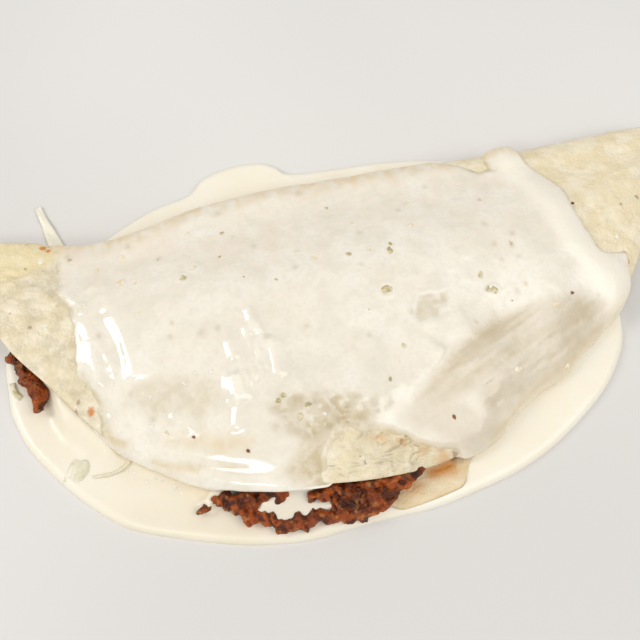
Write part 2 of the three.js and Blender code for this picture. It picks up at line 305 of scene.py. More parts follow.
def randomPush(tree, where, scale, detail, reach):  # a push that wanders from place to place
    inputs = {"Vector": where, "Scale": scale, "Detail": detail}
    push = addNode(tree, "ShaderNodeTexNoise", inputs).outputs[1]
    inputs = {0: push, 1: (0.5, 0.5, 0.5)}
    push = addNode(tree, "ShaderNodeVectorMath", inputs, operation="SUBTRACT").outputs[0]
    return addNode(tree, "ShaderNodeVectorMath", {0: push, "Scale": reach}, operation="SCALE").outputs[0]


def spotMask(tree, where, spots):  # 1 at each spot of x, y, radius, fading out, with ragged edges
    swirl = randomPush(tree, where, 1 / (1.2 * mm), 2, 2 * mm)
    moved = addNode(tree, "ShaderNodeVectorMath", {0: where, 1: swirl}, operation="ADD").outputs[0]
    flat = addNode(tree, "ShaderNodeVectorMath", {0: moved, 1: (1, 1, 0)}, operation="MULTIPLY").outputs[0]
    total = 0.0
    for x, y, radius in spots:
        inputs = {0: flat, 1: (x * mm, y * mm, 0)}
        distance = addNode(tree, "ShaderNodeVectorMath", inputs, operation="DISTANCE").outputs["Value"]
        inputs = {"Value": distance, "From Min": 1.25 * radius * mm, "From Max": 0.45 * radius * mm}
        spot = addNode(tree, "ShaderNodeMapRange", inputs, interpolation_type="SMOOTHSTEP").outputs[0]
        inputs = {0: spot, 1: total}
        total = addNode(tree, "ShaderNodeMath", inputs, operation="MAXIMUM", use_clamp=True).outputs[0]
    return total


def addBump(tree, shader, heights):  # heights are (0 to 1 value, height in millimetres) pairs
    normal = None
    for height, deep in heights:
        inputs = {"Height": height, "Strength": 1.0, "Distance": deep * mm}
        if normal:
            inputs["Normal"] = normal
        normal = addNode(tree, "ShaderNodeBump", inputs).outputs[0]
    tree.links.new(normal, shader.inputs["Normal"])


def softenLight(shader, weight, reach, depthMm):  # light sinks in and comes out again near by
    shader.inputs["Subsurface Weight"].default_value = weight
    shader.inputs["Subsurface Radius"].default_value = reach
    shader.inputs["Subsurface Scale"].default_value = depthMm * mm


# Flour tortilla: a soft floury sheet, cream with paler blisters, mottled grey where it has steamed and
# tan where the beef's fat has soaked in.
tortillaLook = {
    "cream": "#ecddba",
    "pale": "#f5ead1",
    "steamed": "#c9bb9b",
    "yellow": "#ead7a6",
    "soaked": "#d8bb88",
    "toasted": "#b98d58",
    "scorched": "#7d4a2a",
    "floury": "#fbf5e6",
    "grease": "#d5852c",
    "orange": "#cc7a1c",
    "roughness": 0.5,
    "wetRoughness": 0.14,
    "subsurface": 0.12,
    "blister": 1.1,
    "dust": 0.36,
    "wrinkle": 3.2,
}
tipRidge = [
    (-150, 30), (-135.7, 32.7), (-127.8, 34), (-120.7, 36.2), (-115.9, 39.8), (-111.5, 44.4), (-99.4, 47),
]
scorchSpots = [  # x, y and radius of each
    (118.5, 22.3, 0.8), (127, 25.5, 0.9), (-124.5, 12, 0.8), (-125.5, 40, 0.7), (-109.5, -20, 0.9),
    (12, -57.6, 1.1), (8.3, -57.6, 0.8), (17.3, -61, 1.0), (26, -65.4, 1.3), (-8.8, -64.8, 0.7),
    (6, -59.5, 0.7), (-10, -62.5, 0.5), (-111.5, -22.5, 1.0), (-124.7, 56.5, 0.9), (-125.3, 53, 0.6),
    (1.5, -55, 0.7), (138, 30, 0.7), (-132, 20, 0.6),
]
greaseSpots = [
    (114, -1.6, 1.7), (113.8, 1.6, 1.2), (-105.3, -24.5, 1.7), (-118.6, 49.6, 1.6), (-116.4, 47.6, 1.3),
]
wetFilm = [(99, 26), (103, 18), (106, 9), (105, 3)]
frontStain = [(-3, -56), (3, -57), (8, -59), (15, -62.5), (22, -65.5)]


def flourTortilla():
    look = tortillaLook
    stored = "yellow", "steamed", "soaked", "grease", "wet", "wrinkled"
    material, tree, shader, read = newMaterial("flour tortilla", *stored)
    where = read["where"]
    inputs = {"Value": noiseShade(tree, where, 5.5, 5, 0.34, 0.7), "To Min": 0.25, "To Max": 0.9}
    blotches = addNode(tree, "ShaderNodeMapRange", inputs).outputs[0]
    inputs = {0: 0.5, 1: read["soaked"]}
    dry = addNode(tree, "ShaderNodeMath", inputs, operation="SUBTRACT", use_clamp=True).outputs[0]
    colour = layerColours(tree, look["cream"], [
        (noiseShade(tree, where, 9, 3, 0.4, 0.62), look["pale"]),
        (read["yellow"], look["yellow"]),
        ((blotches, read["steamed"]), look["steamed"]),
        (read["soaked"], look["soaked"]),
        ((noiseShade(tree, where, 2.4, 2, 0.68, 0.78), 0.45), look["toasted"]),
        ((noiseShade(tree, where, 1.6, 3, 0.6, 0.75), dry), look["floury"]),
        (read["grease"], look["grease"]),
        ((spotMask(tree, where, greaseSpots), 0.85), look["orange"]),
        ((spotMask(tree, where, scorchSpots), 0.55), look["scorched"]),
    ])
    tree.links.new(colour, shader.inputs["Base Color"])
    inputs = {"Value": read["wet"], "To Min": look["roughness"], "To Max": look["wetRoughness"]}
    tree.links.new(addNode(tree, "ShaderNodeMapRange", inputs).outputs[0], shader.inputs["Roughness"])
    softenLight(shader, look["subsurface"], (1.0, 0.7, 0.5), 1.5)
    inputs = {"Vector": where, "Scale": 1 / (5 * mm), "Detail": 2}
    blisters = addNode(tree, "ShaderNodeTexNoise", inputs).outputs[0]
    inputs = {"Vector": where, "Scale": 1 / (1.2 * mm), "Detail": 4}
    dust = addNode(tree, "ShaderNodeTexNoise", inputs).outputs[0]
    inputs = {"Vector": where, "Rotation": (0, 0, 0.3), "Scale": (0.5, 1, 1)}
    stretched = addNode(tree, "ShaderNodeMapping", inputs).outputs[0]
    inputs = {"Vector": stretched, "Scale": 1 / (5.4 * mm), "Detail": 1.6, "Distortion": 1.1}
    wrinkles = addNode(tree, "ShaderNodeTexNoise", inputs).outputs[0]
    inputs = {0: wrinkles, 1: read["wrinkled"]}
    wrinkles = addNode(tree, "ShaderNodeMath", inputs, operation="MULTIPLY").outputs[0]
    addBump(tree, shader, [(blisters, look["blister"]), (dust, look["dust"]), (wrinkles, look["wrinkle"])])
    return material


def sheetRelief(x, s):  # blisters of the cooked dough, x along the fold and s round it
    lumps = 0.3 * grain(x, s, 11, 3) + 0.16 * grain(x, s, 5, 4) + 0.07 * grain(x, s, 2.2, 5)
    return lumps + 0.9 * np.maximum(0, grain(x, s, 15, 6) - 0.45)


def makeTortilla():
    flat = tortilla["flatRun"]
    lowerRows, foldRows, upperRows = tortilla["rows"]
    edges = np.array([0, 0.0012, 0.003, 0.006, 0.01])
    lower = np.concatenate([edges, np.linspace(0.02, flat, lowerRows)])
    folded = np.linspace(flat, 2 - flat, foldRows)[1:-1]
    upper = np.concatenate([np.linspace(2 - flat, 1.98, upperRows), 2 - edges[::-1]])
    run = np.concatenate([lower, folded, upper])[:, None]
    share = np.linspace(-0.5, 0.5, tortilla["columns"])[None, :]
    x = tortilla["halfLength"] * np.sin(share * math.pi) + 0 * run
    run = run + 0 * x
    y = outside(x, run)[0]
    toRim = np.minimum(run, 2 - run) * tortilla["rimLength"]
    rounding = 1 - np.clip(toRim / 1.3, 0, 1)
    slim = tortilla["sheet"] / 2 * (1 - np.sqrt(1 - rounding**2))
    onTop = run > 1.2
    bare = bell(x, 0, 30) * smooth(-48, -56, y) * onTop
    leftTip = smooth(-98, -108, x) * (run > 0.95)
    flap = (run < 0.6) * smooth(-14, -4, x) * smooth(42, 34, x)
    north = -sided(x, y, tipRidge[::-1])[0]
    creases = np.abs(grain(0.35 * (x + 1.1 * y), y - 0.25 * x, 3.6, 8))
    creases = creases + 0.4 * np.abs(grain(x, y - 0.15 * x, 2.2, 9))
    relief = sheetRelief(x, run * tortilla["runLength"])
    bumps = relief * smooth(0, 3, toRim) + bare * (0.5 - 1.2 * creases) * smooth(0, 4, toRim)
    bumps = bumps + 0.8 * bell(north, 0, 2.2) * leftTip * smooth(0, 4, toRim)
    bumps = bumps + flap * 0.35 * np.sin((y - 0.55 * x) * 1.3) * smooth(0, 3, toRim)
    darkTint = smooth(13, 17, x) * smooth(28, 25, x) * bell(y, -68.6, 2.6)
    darkTint = darkTint + 0.6 * bell(x, 9, 4) * bell(y, -72.5, 3)
    fatty = np.clip(0.5 + 0.9 * grain(x, y, 2.4, 11), 0, 1) * nearLine(x, y, frontStain, 2.8) * onTop
    steamed = (0.75 + 0.8 * bell(x, -107, 6) * bell(y, -5, 12)) * smooth(2, -2, north) * smooth(-92, -99, x)
    values = {
        "grease": darkTint * flap + 0.35 * fatty,
        "soaked": flap * (0.5 + 0.35 * grain(x, y, 5, 10)) + 0.6 * fatty,
        "steamed": steamed + 0.2 * (x > 60) + 0.7 * bare,
        "yellow": 0.7 * smooth(-1, 1.5, north) * leftTip + 0.2 * (x > 60) + 0.2 * bare,
        "wet": smooth(5, 2.5, pathDistance(x, y, wetFilm)) * onTop + 0.35 * smooth(-96, -104, x) * onTop,
        "wrinkled": bare,
    }
    top = skin(x, run, bumps - slim)
    bottom = skin(x, run, 0.4 * bumps - tortilla["sheet"] + slim)
    values = {name: np.clip(value + 0 * x, 0, 1) for name, value in values.items()}
    obj = closedSlab("tortilla_sheet", top, bottom, values)
    return finishPiece(obj, ["tortilla"], flourTortilla())


# White queso: melted cheese thinned with milk, an opaque cream with a wet shine, greyer where it runs thin.
coat = {
    "rows": 250,
    "columns": 340,
    "hemRows": 30,
    "startRun": 1.05,
    "backLength": 95,  # of sheet to one unit of run, near the fold
    "thick": 1.15,
    "thinnest": 0.25,
    "roll": 2.1,
    "rollWidth": 7.8,
    "roundEdge": 2.2,
    "sunk": 0.5,
    "wall": 0.9,
}
rollPath = [(79, 57), (81, 43), (87, 31), (90, 17), (93, 7), (97.5, -1), (104, -8), (107, -15)]
bareBack = [(50, 58), (56, 61), (69.5, 60), (70.5, 49), (64.5, 48.5), (57, 54)]
slope = [
    (33, -30), (42.7, -24), (53, -18.5), (62, -18), (77, -15.6), (90, -12.4), (99, -17), (96, -25), (79, -37),
    (62, -44), (50, -50), (44, -53), (36, -46), (24, -46), (15, -46), (25, -37),
]
blob = [
    (8.5, -47.6), (18.8, -44.5), (25, -44.5), (31, -46.5), (37, -50.5), (44.9, -54.5), (46.9, -58),
    (42.7, -63), (34, -66), (27.3, -65), (18.4, -58.7), (11.3, -56), (6.6, -52),
]
blobRidge = [(39, -48), (40, -53), (38, -58)]
leftHollow = [
    (-87.7, -19.1), (-78.4, -19.5), (-72.1, -18.9), (-62, -23), (-56, -26.7), (-54, -33.7), (-64.8, -39),
    (-76.4, -37), (-84.5, -33), (-91, -24.7),
]
tanBand = [
    (-79, -42.6), (-75.7, -41), (-65, -42.3), (-54.7, -45.7), (-47, -49.6), (-49.4, -53), (-58.3, -52.5),
    (-66.7, -49), (-74, -45.5),
]
frontWrinkles = [
    (-38, -40), (-30, -37), (-16, -39), (-4, -42), (4, -46), (0, -51), (-14, -52), (-25, -54), (-34, -49),
]
scar = [  # a graze on the right, where the sauce is nearly gone
    (22.8, -11.5), (24.5, -8.2), (28.6, -7.6), (31, -8.6), (34.8, -7.4), (35.6, -10.4), (34, -13.2),
    (30.6, -13.8), (29.8, -16.6), (25.4, -17.2), (22.9, -18), (21, -15),
]
rightCrease = [(41, -62), (46.5, -57.5), (51.5, -54), (64, -45), (72, -41.5), (80, -37), (88, -31)]
hemCreases = [[(-100.5, -33.5), (-97.5, -36.5), (-94.5, -38.5)], [(-84.5, -47.5), (-77, -51), (-69, -54.5)]]
frontFilm = [(-38, -70), (-34, -60), (-30, -54), (-22, -49), (-6, -47), (-8, -58), (-14, -70)]
thinPatches = [  # outline, how much thinner, width of the step at its border
    (scar, 0.45, 1.0), (slope, 0.35, 4.0), (leftHollow, 0.42, 4.0), (tanBand, 0.3, 3.5),
    (frontWrinkles, 0.5, 3.0), (bareBack, 1.0, 2.5), (frontFilm, 0.8, 6.0),
]
steps = [  # line with the thicker sauce on its left-hand side, height, half width of the flank, reach
    ([(-100.5, 22), (-98.2, 20.4), (-98, 17.6), (-96, 16), (-95.9, 12.4), (-94.3, 10.6), (-93.4, 7),
     (-91.6, 2.1), (-90.2, -4.3), (-89.6, -10.3), (-89.4, -16)], 1.0, 1.7, 8),
    ([(-111.5, 15.6), (-108.3, 12.9), (-106.2, 9.8), (-104.2, 5.9), (-103.2, 3)], 0.85, 1.5, 5),
    ([(-102.6, 0), (-102.9, -7.4), (-102.6, -15)], 1.25, 2.9, 4),
    ([(-99.1, -1.8), (-97.4, -5.4), (-95.9, -9.8), (-95, -13.5), (-94.6, -17)], 0.5, 1.0, 3),
    ([(-41.5, -2.5), (-41.1, -10)], 1.15, 1.4, 3),
    ([(-43.6, -9.5), (-43.2, -15.5)], 0.9, 1.1, 2),
    ([(-38.8, -9), (-38.3, -16)], 1.1, 1.3, 3),
    ([(-40.6, -15), (-40.2, -20)], 0.95, 1.1, 2),
    ([(-35.9, -15.5), (-35.3, -28)], 1.15, 1.3, 5),
    ([(-50.6, -13.3), (-50.1, -18.6)], 1.0, 1.3, 4),
    ([(-52.2, -26.6), (-51.9, -34)], 1.75, 2.7, 6),
    ([(-51.4, -33.7), (-51.8, -36.9), (-52.8, -40.2), (-53.2, -43.4)], 0.75, 1.15, 5),
    ([(-75, -36.3), (-72.5, -37.8), (-70.3, -40)], 0.35, 0.8, 3),
    ([(-86, -19.4), (-81, -18.8), (-72, -17.2)], 0.2, 0.9, 3),
    ([(14.5, -42), (19, -40), (25, -35.5), (29, -31)], 0.5, 0.6, 12),
    ([(37.5, -15.5), (33, -17), (28, -18.5), (22, -18.4), (20.4, -16)], 0.25, 0.9, 8),
]
steps += [
    ([(-38.4 - 2.5 * k, -20.4 - 1.8 * k), (-38.2 - 2.5 * k, -24 - 1.8 * k)], 0.85, 1.0, 1.4)
    for k in range(5)
]
lumps = [(12.2, -3.9, 2.9), (-58.7, 21.6, 1.9), (-62.9, 17.1, 2.1), (-103.8, 14.4, 2.0), (54.1, -8.7, 2.0)]
stains = [  # x, y and radius of what shows faintly through the sauce
    (-108.5, 41.5, 1.3), (-72, 31, 1.1), (-98, 2, 1.2), (-69.5, -1, 1.0), (-89, -22.5, 1.2),
    (-82, -33.5, 1.5), (-53, -7, 1.2), (-59.5, -7.5, 1.6), (-35.6, -13.6, 1.3), (-34.5, -37, 1.6),
    (-24, -42, 1.8), (-29, -45.5, 1.5), (-38, -47, 1.5), (63, -10.5, 1.2), (97, -14, 1.1), (58.5, 9, 1.3),
    (67, 12.5, 1.4), (57.5, 18.5, 1.3), (60, 2.5, 1.1), (67, 2.5, 1.0), (65.5, 7, 1.1), (84, -15.5, 1.3),
    (98, 25.5, 1.2), (20, -14, 1.4), (33, -35, 1.2), (30, -46, 1.6), (44, -21, 1.1), (8, 24, 1.3),
    (-20, 12, 1.2), (-34, 27, 1.4), (26, 33, 1.3), (40, 44, 1.2), (-84, 41, 1.4), (-46, 48, 1.3),
    (-12, 51, 1.5), (5, 8, 1.0), (-71, -6, 1.1), (-20, -12, 1.2), (2, -20, 1.1),
]
sauceLook = {
    "thick": "#f3ecdd",
    "creamy": "#f0e7d6",
    "rolled": "#f5eddc",
    "pool": "#f6f0e0",
    "deep": "#f5ecd8",
    "thin": "#e2d6bc",
    "under": "#cfbe99",
    "warm": "#e3cda4",
    "pink": "#ecdac6",
    "grey": "#dfd7c4",
    # a darker tint: the sauce's own greyer patches, and painted shade on the right slope, the blob and the
    # left hollow
    "darkTint": "#ae9b78",
    "subsurface": 0.25,
    "coatRoughness": (0.34, 0.07),
    "poolRoughness": 0.3,
}


def coatLeft(s):
    back = smooth(0.62, 0.4, s)
    ragged = (0.8 + 1.6 * back) * grain(s * 120, 0 * s, 11, 21) + 0.5 * grain(s * 120, 0 * s, 4, 26)
    return -118.5 + 10.5 * smooth(0.28, 0.46, s) + 1.5 * smooth(0.6, 1, s) + ragged


def coatRight(s):
    bulge = 12.5 * smooth(0, 0.36, s) + 5.5 * smooth(0.4, 0.7, s) + 12 * smooth(0.66, 0.86, s)
    return 84 + bulge + 0.7 * grain(s * 120, 0 * s, 12, 22) + 0.3 * grain(s * 120, 0 * s, 4, 27)


def bareFront(x):  # how far the front edge stays back from the rim
    taper = np.clip((32 - x) / 29, 0, 1) ** 1.3
    ragged = 1.6 * grain(x, 0 * x, 9, 23) + 0.8 * grain(x, 0 * x, 3, 28)
    return (12.5 + ragged) * smooth(-24, -10, x) * taper


def glassy(x, y):  # where the sauce is wettest and smoothest
    return bell(x, -75, 60) * smooth(28, 5, y)


def downSlope(x, y):  # down the slope at the right, and across it
    return -0.89 * x - 0.46 * y, 0.89 * y - 0.46 * x


def leftCreases(x, y):
    return np.minimum(pathDistance(x, y, hemCreases[0]), pathDistance(x, y, hemCreases[1]))


def coatFade(x, y, s):  # falls to 0 where the sauce ends thinly: bits of its left edge, the bare places
    softLeft = np.minimum(1, smooth(8, 16, y) + smooth(-6, -16, y)) * (x < 0)
    fade = mix(1, smooth(0, mix(8, 11, smooth(-12, -22, y)), x - coatLeft(s)), softLeft)
    edgeX = np.arange(-33.0, 36, 1.5)
    toBare = pathDistance(x, y, list(zip(edgeX, rimY(edgeX) + bareFront(edgeX))))
    toBare = toBare + 9 * smooth(26, 34, x) + 9 * smooth(-19, -36, x)
    fade = fade * smooth(0, mix(3.5, 9, smooth(10, -14, x)), toBare)
    return fade * within(x, y, bareBack, 3, -3.5)


def coatThickness(x, y):
    inBlob = within(x, y, blob, -4, 5)
    uneven = 0.15 * grain(x, y, 13, 31) + 0.1 * grain(x, y, 6, 32) + 0.06 * grain(x, y, 3, 33)
    uneven = uneven * (1 - 0.8 * glassy(x, y))
    thick = coat["thick"] + uneven * (1 - 0.8 * inBlob) + 0.2 * inBlob
    thick = thick + 0.3 * nearLine(x, y, blobRidge, 3)
    thick = thick + coat["roll"] * nearLine(x, y, rollPath, coat["rollWidth"] + 1.6 * smooth(4, -10, y))
    thick = thick - 0.45 * nearLine(x, y, rightCrease, 1.7) - 0.5 * bell(leftCreases(x, y), 0, 1.4)
    for outline, deep, border in thinPatches:
        thick = thick - deep * within(x, y, outline, -border, border)
    for line, high, flank, reach in steps:
        side, past = sided(x, y, line)
        wobble = side + 0.55 * grain(x, y, 5, 41) + 0.1 * grain(x, y, 1.8, 42)
        rise = ramp(-flank, flank, wobble) * np.exp(-((np.maximum(side, 0) / reach) ** 2))
        thick = thick + high * rise * smooth(3, 0, past)
    for spotX, spotY, radius in lumps:
        thick = thick + 0.3 * bell(np.hypot(x - spotX, y - spotY), radius, 0.6)
    down, across = downSlope(x, y)
    flow = grain(down / 7, across, 3.4, 43) + 0.5 * grain(down / 5, across, 1.6, 44)
    thick = thick + 0.3 * flow * within(x, y, slope, -3, 5)
    wrinkled = within(x, y, frontWrinkles, -4, 3)
    thick = thick + 0.75 * wrinkled * (0.4 - np.abs(grain(x + 0.4 * y, y, 3.2, 45)))
    thick = thick + 0.3 * within(x, y, scar, -1, 1) * grain(x, y, 1.8, 48)
    return np.maximum(thick, coat["thinnest"])


def frontRoll(x, toLip):  # the sauce has gathered in a roll along the front edge
    reach = smooth(-84, -70, x) * smooth(-4, -16, x) * (0.5 + 0.35 * bell(x, -57, 9))
    return reach * (1.2 * bell(toLip, 3.2, 2.4) - 0.5 * bell(toLip, 8.5, 2.8))


def quesoSauce(name, coating):
    look = sauceLook
    stored = ("depth", "wet", "pink", "warm", "darkTint") if coating else ("warm",)
    material, tree, shader, read = newMaterial(name, *stored)
    where = read["where"]
    soft = noiseShade(tree, where, 26, 2, 0.35, 0.7)
    inputs = {"Vector": where, "Scale": 1 / (6 * mm), "Detail": 2}
    swell = addNode(tree, "ShaderNodeTexNoise", inputs).outputs[0]
    if coating:
        inputs = {"Value": read["depth"], "From Min": 1.6, "From Max": 2.9}
        rolled = addNode(tree, "ShaderNodeMapRange", inputs, interpolation_type="SMOOTHSTEP").outputs[0]
        # low depth lets the thin colours show: thin sauce, and at the hem's foot painted crease shade
        inputs = {"Value": read["depth"], "From Min": 0.15, "From Max": 1.2}
        cover = addNode(tree, "ShaderNodeMapRange", inputs, interpolation_type="SMOOTHSTEP").outputs[0]
        under = layerColours(tree, look["thin"], [(noiseShade(tree, where, 4, 4, 0.4, 0.62), look["under"])])
        colour = layerColours(tree, look["thick"], [
            (soft, look["creamy"]),
            ((noiseShade(tree, where, 16, 2, 0.44, 0.68), 0.35), look["grey"]),
            ((noiseShade(tree, where, 6, 3, 0.44, 0.68), 0.32), look["grey"]),
            ((noiseShade(tree, where, 1.7, 2, 0.44, 0.68), 0.25), look["grey"]),
            (read["pink"], look["pink"]),
            (rolled, look["rolled"]),
        ])
        colour = addNode(tree, "ShaderNodeMix", {0: cover, 6: under, 7: colour}, data_type="RGBA").outputs[2]
        # the warm and dark tints, which also hold painted shade
        colour = layerColours(tree, colour, [(read[key], look[key]) for key in ("warm", "darkTint")])
        dull, shiny = look["coatRoughness"]
        inputs = {"Value": read["wet"], "From Max": 0.8, "To Min": dull, "To Max": shiny}
        tree.links.new(addNode(tree, "ShaderNodeMapRange", inputs).outputs[0], shader.inputs["Roughness"])
        inputs = {"Value": read["wet"], "To Min": 1.0, "To Max": 0.12}
        calm = addNode(tree, "ShaderNodeMapRange", inputs).outputs[0]
        inputs = {"Vector": where, "Scale": 1 / (1.8 * mm), "Detail": 2}
        curds = addNode(tree, "ShaderNodeTexNoise", inputs).outputs[0]
        swell = addNode(tree, "ShaderNodeMath", {0: swell, 1: calm}, operation="MULTIPLY").outputs[0]
        curds = addNode(tree, "ShaderNodeMath", {0: curds, 1: calm}, operation="MULTIPLY").outputs[0]
        addBump(tree, shader, [(swell, 0.28), (curds, 0.09)])
    else:
        colour = layerColours(tree, look["pool"], [(soft, look["deep"]), (read["warm"], look["thin"])])
        shader.inputs["Roughness"].default_value = look["poolRoughness"]
        addBump(tree, shader, [(swell, 0.2)])
    tree.links.new(colour, shader.inputs["Base Color"])
    shader.inputs["Specular IOR Level"].default_value = 0.8 if coating else 0.5
    shader.inputs["IOR"].default_value = 1.45
    softenLight(shader, look["subsurface"], (1.0, 0.85, 0.65), 2)
    return material


def coatHem(top):  # it runs over the rim and down into the pool, or stops as a lip above the beef
    q = np.linspace(0, 1, coat["hemRows"])[1:, None] + np.zeros((1, coat["columns"]))
    x, y0, z0 = top[-1:, :, 0] + 0 * q, top[-1:, :, 1], top[-1:, :, 2]
    ahead = top[-1:] - top[-2:-1]
    ahead = ahead / np.linalg.norm(ahead, axis=-1, keepdims=True)
    toPool = smooth(-57, -66, x) * smooth(-113, -104, x) + smooth(29, 38, x) * smooth(112, 106, x)
    lip = smooth(5, 1, bareFront(x))
    reach = mix(0.3, mix(1.2, 1.6, toPool), lip) + 0.6 * toPool * grain(x, 0 * x, 8, 25)
    lip = lip * mix(1, 0.1, smooth(-42, -31, x) * smooth(20, 0, x))
    lipDrop = mix(0.4, 2.8, lip) + 2.6 * bell(x, -56, 8) * lip
    endZ = mix(z0 - lipDrop, pool["level"] - 0.8, toPool)
    drop = z0 - endZ
    handle = 0.55 * drop
    ys = y0, y0 + ahead[..., 1] * handle, y0 - reach, y0 - reach + 0.5
    zs = z0, z0 + ahead[..., 2] * handle, endZ + 0.5 * drop, endZ
    weights = (1 - q) ** 3, 3 * q * (1 - q) ** 2, 3 * q**2 * (1 - q), q**3
    y = sum(w * v for w, v in zip(weights, ys))
    z = sum(w * v for w, v in zip(weights, zs))
    wall = coat["wall"]
    inner = np.stack([x, np.maximum(y + wall, y0 - 0.4), np.minimum(z, z0 - wall)], -1)
    # the last value grows low on the hem where it runs into the pool, for painted crease shade
    return np.stack([x, y, z], -1), inner, q, smooth(0.35, 0.85, q) * toPool


def coatTints(x, y, z, toBack):  # how wet, pink, warm and darkly tinted the sauce is; some of the tints are painted shade
    wet = np.clip(glassy(x, y) + 0.35 * smooth(-36, -44, y) + 0.1, 0, 1)
    pink = 0.5 * np.clip(0.15 + 0.6 * grain(x, y, 8, 46) + 0.4 * grain(x, y, 3, 49), 0, 1) * smooth(0, 30, y)
    speckled = np.clip(0.55 + 0.6 * grain(x, y, 3.5, 50) + 0.4 * grain(x, z, 1.6, 53), 0, 1)
    down, across = downSlope(x, y)
    streaks = smooth(-0.5, 0.7, grain(down / 9, across, 2.8, 54))
    inSlope, inBlob = within(x, y, slope, -4, 3), within(x, y, blob, -4, 5)
    warm = speckled * smooth(9, 2, toBack) + (0.2 + 0.4 * speckled) * within(x, y, tanBand, -4, 4)
    # On the right slope and the blob the warm tint is partly thin sauce and partly painted shade.
    warm = warm + (0.06 + 0.16 * streaks) * inSlope + 0.12 * inBlob
    # Painted crease shade: a warm darker line along the groove by the right rim and along the grooves on the
    # left hem.
    warm = warm + 0.55 * bell(sided(x, y, rightCrease)[0], -1.5, 3) * smooth(36, 44, x)
    warm = warm + 0.35 * bell(leftCreases(x, y), 0, 1.5) + 0.6 * speckled * nearLine(x, y, frontStain, 3)
    # Dark tint: over the right slope, in streaks, over the blob and in the left hollow it is partly thin
    # sauce and partly painted shade; over the wrinkles, the film, the scar and the spots it is the sauce's
    # own.
    darkTint = (0.29 + 0.13 * streaks) * inSlope + 0.35 * inBlob + 0.06 * within(x, y, leftHollow, -3, 3)
    darkTint = darkTint + within(x, y, frontWrinkles, -4, 3) * (0.1 + 0.24 * smooth(-0.5, 0.6, grain(x, y, 3, 47)))
    darkTint = darkTint + 0.13 * within(x, y, frontFilm, -5, 5)
    darkTint = darkTint + (0.16 + 0.12 * grain(x, y, 1.8, 48)) * within(x, y, scar, -1.5, 1.5)
    ragged = 0.4 * grain(x, y, 1.2, 55)
    for spotX, spotY, radius in stains:
        darkTint = np.maximum(darkTint, 0.32 * bell(np.hypot(x - spotX, y - spotY + ragged), 0, radius))
    return wet, pink, warm, darkTint


def makeCoat():
    s = np.linspace(0, 1, coat["rows"])[:, None] + np.zeros((1, coat["columns"]))
    c = np.linspace(0, 1, coat["columns"])[None, :] + 0 * s
    c = mix(c, 0.5 - 0.5 * np.cos(c * math.pi), 0.35)
    left, right = coatLeft(s), coatRight(s)
    x = mix(left, right, c)
    bare = bareFront(x)
    frontRun = 2 - bare * tortilla["flatRun"] / (foldY(x) - rimY(x))
    start = coat["startRun"] + 0.012 * grain(x, 0 * x, 13, 24) + 0.005 * grain(x, 0 * x, 4, 29)
    run = mix(start, frontRun, s)
    y, z = outside(x, run)
    fade = coatFade(x, y, s)
    toSide = np.minimum((x - left) + 3 * smooth(1, 0.6, fade), right - x)
    toBack = (run - start) * coat["backLength"]
    toFront = (frontRun - run) * tortilla["rimLength"] + 4 * smooth(4, 1, bare)
    toEdge = np.minimum(np.minimum(toSide, toBack), toFront + 3 * smooth(1, 4, bare))
    edge = 1 - np.clip(toEdge / coat["roundEdge"], 0, 1)
    thick = (coatThickness(x, y) + frontRoll(x, toFront)) * np.sqrt(1 - 0.97 * edge**2) * fade
    top = skin(x, run, mix(-coat["sunk"], clearance, fade) + thick)
    bottom = skin(x, run, -coat["wall"])
    hem, inner, q, shadow = coatHem(top)
    wet, pink, warm, darkTint = coatTints(x, y, z, toBack)
    # At the foot of the hem, where it meets the pool, the lower depth and the warm tint are painted crease
    # shade.
    values = {
        "depth": np.concatenate([thick, mix(1.3, 0.7, shadow)]),
        "wet": np.concatenate([wet, wet[-1:] + 0 * q]),
        "warm": np.clip(np.concatenate([warm, warm[-1:] * (1 - q) + 0.9 * shadow]), 0, 1),
        "pink": np.concatenate([pink, 0 * q]),
        "darkTint": np.concatenate([darkTint, darkTint[-1:] * (1 - 0.5 * q)]),
    }
    top, bottom = np.concatenate([top, hem]), np.concatenate([bottom, inner])
    obj = closedSlab("queso_over_tortilla", top, bottom, values)
    return finishPiece(obj, ["queso_coat"], quesoSauce("thin queso", True))


poolLook = {
    "centre": (-12.0, 0.0),
    "rings": 120,
    "around": 760,
    "ripple": 0.12,
    "puddle": 4.0,
    "coatedHeight": 7.4,
    "bank": 4.9,
}
poolWarmth = [(-128, 0), (-118, -25), (-104, -40), (-92, -49), (-75, -58)]
puddle = [  # the sauce that has run in between the strips of beef
    (-52, -72.4), (-47.6, -68.6), (-42.8, -67.6), (-38.6, -66), (-37, -64.2), (-33.4, -64), (-28, -65),
    (-27.4, -68.8), (-24, -71.4), (-17.6, -72.4), (-16.4, -74.6), (-24, -76.9), (-29.2, -77.8),
    (-32.8, -78.2), (-36.3, -78.5), (-42, -78.6), (-46.4, -75.8),
]
coatedEnd = [  # the sauce over the left end of the beef
    (-69.5, -64.5), (-66, -60.5), (-61, -60), (-57, -62.5), (-60.5, -64.6), (-64.5, -66), (-67.5, -68),
]
poolEdge = [
    (-138.5, 11), (-139, -6), (-137.5, -17), (-132, -30.5), (-121.5, -45.3), (-111, -57), (-97.5, -68),
    (-79.5, -75.2), (-58, -81.6), (-40, -84.5), (-29, -84.8), (-19.5, -83.8), (-10, -83), (4, -82.5),
    (15, -82), (31, -79), (50.5, -74), (69, -65.5), (90, -51), (102, -38), (108.5, -25), (109.5, -8),
    (103, 20), (88, 46), (66, 64.5), (52, 71), (29, 74.2), (6, 74.8), (-12, 76.2), (-18, 81), (-24, 84.2),
    (-37, 84.5), (-50, 80.5), (-58, 73), (-75, 68), (-93, 58.5), (-108, 48), (-126, 33),
]


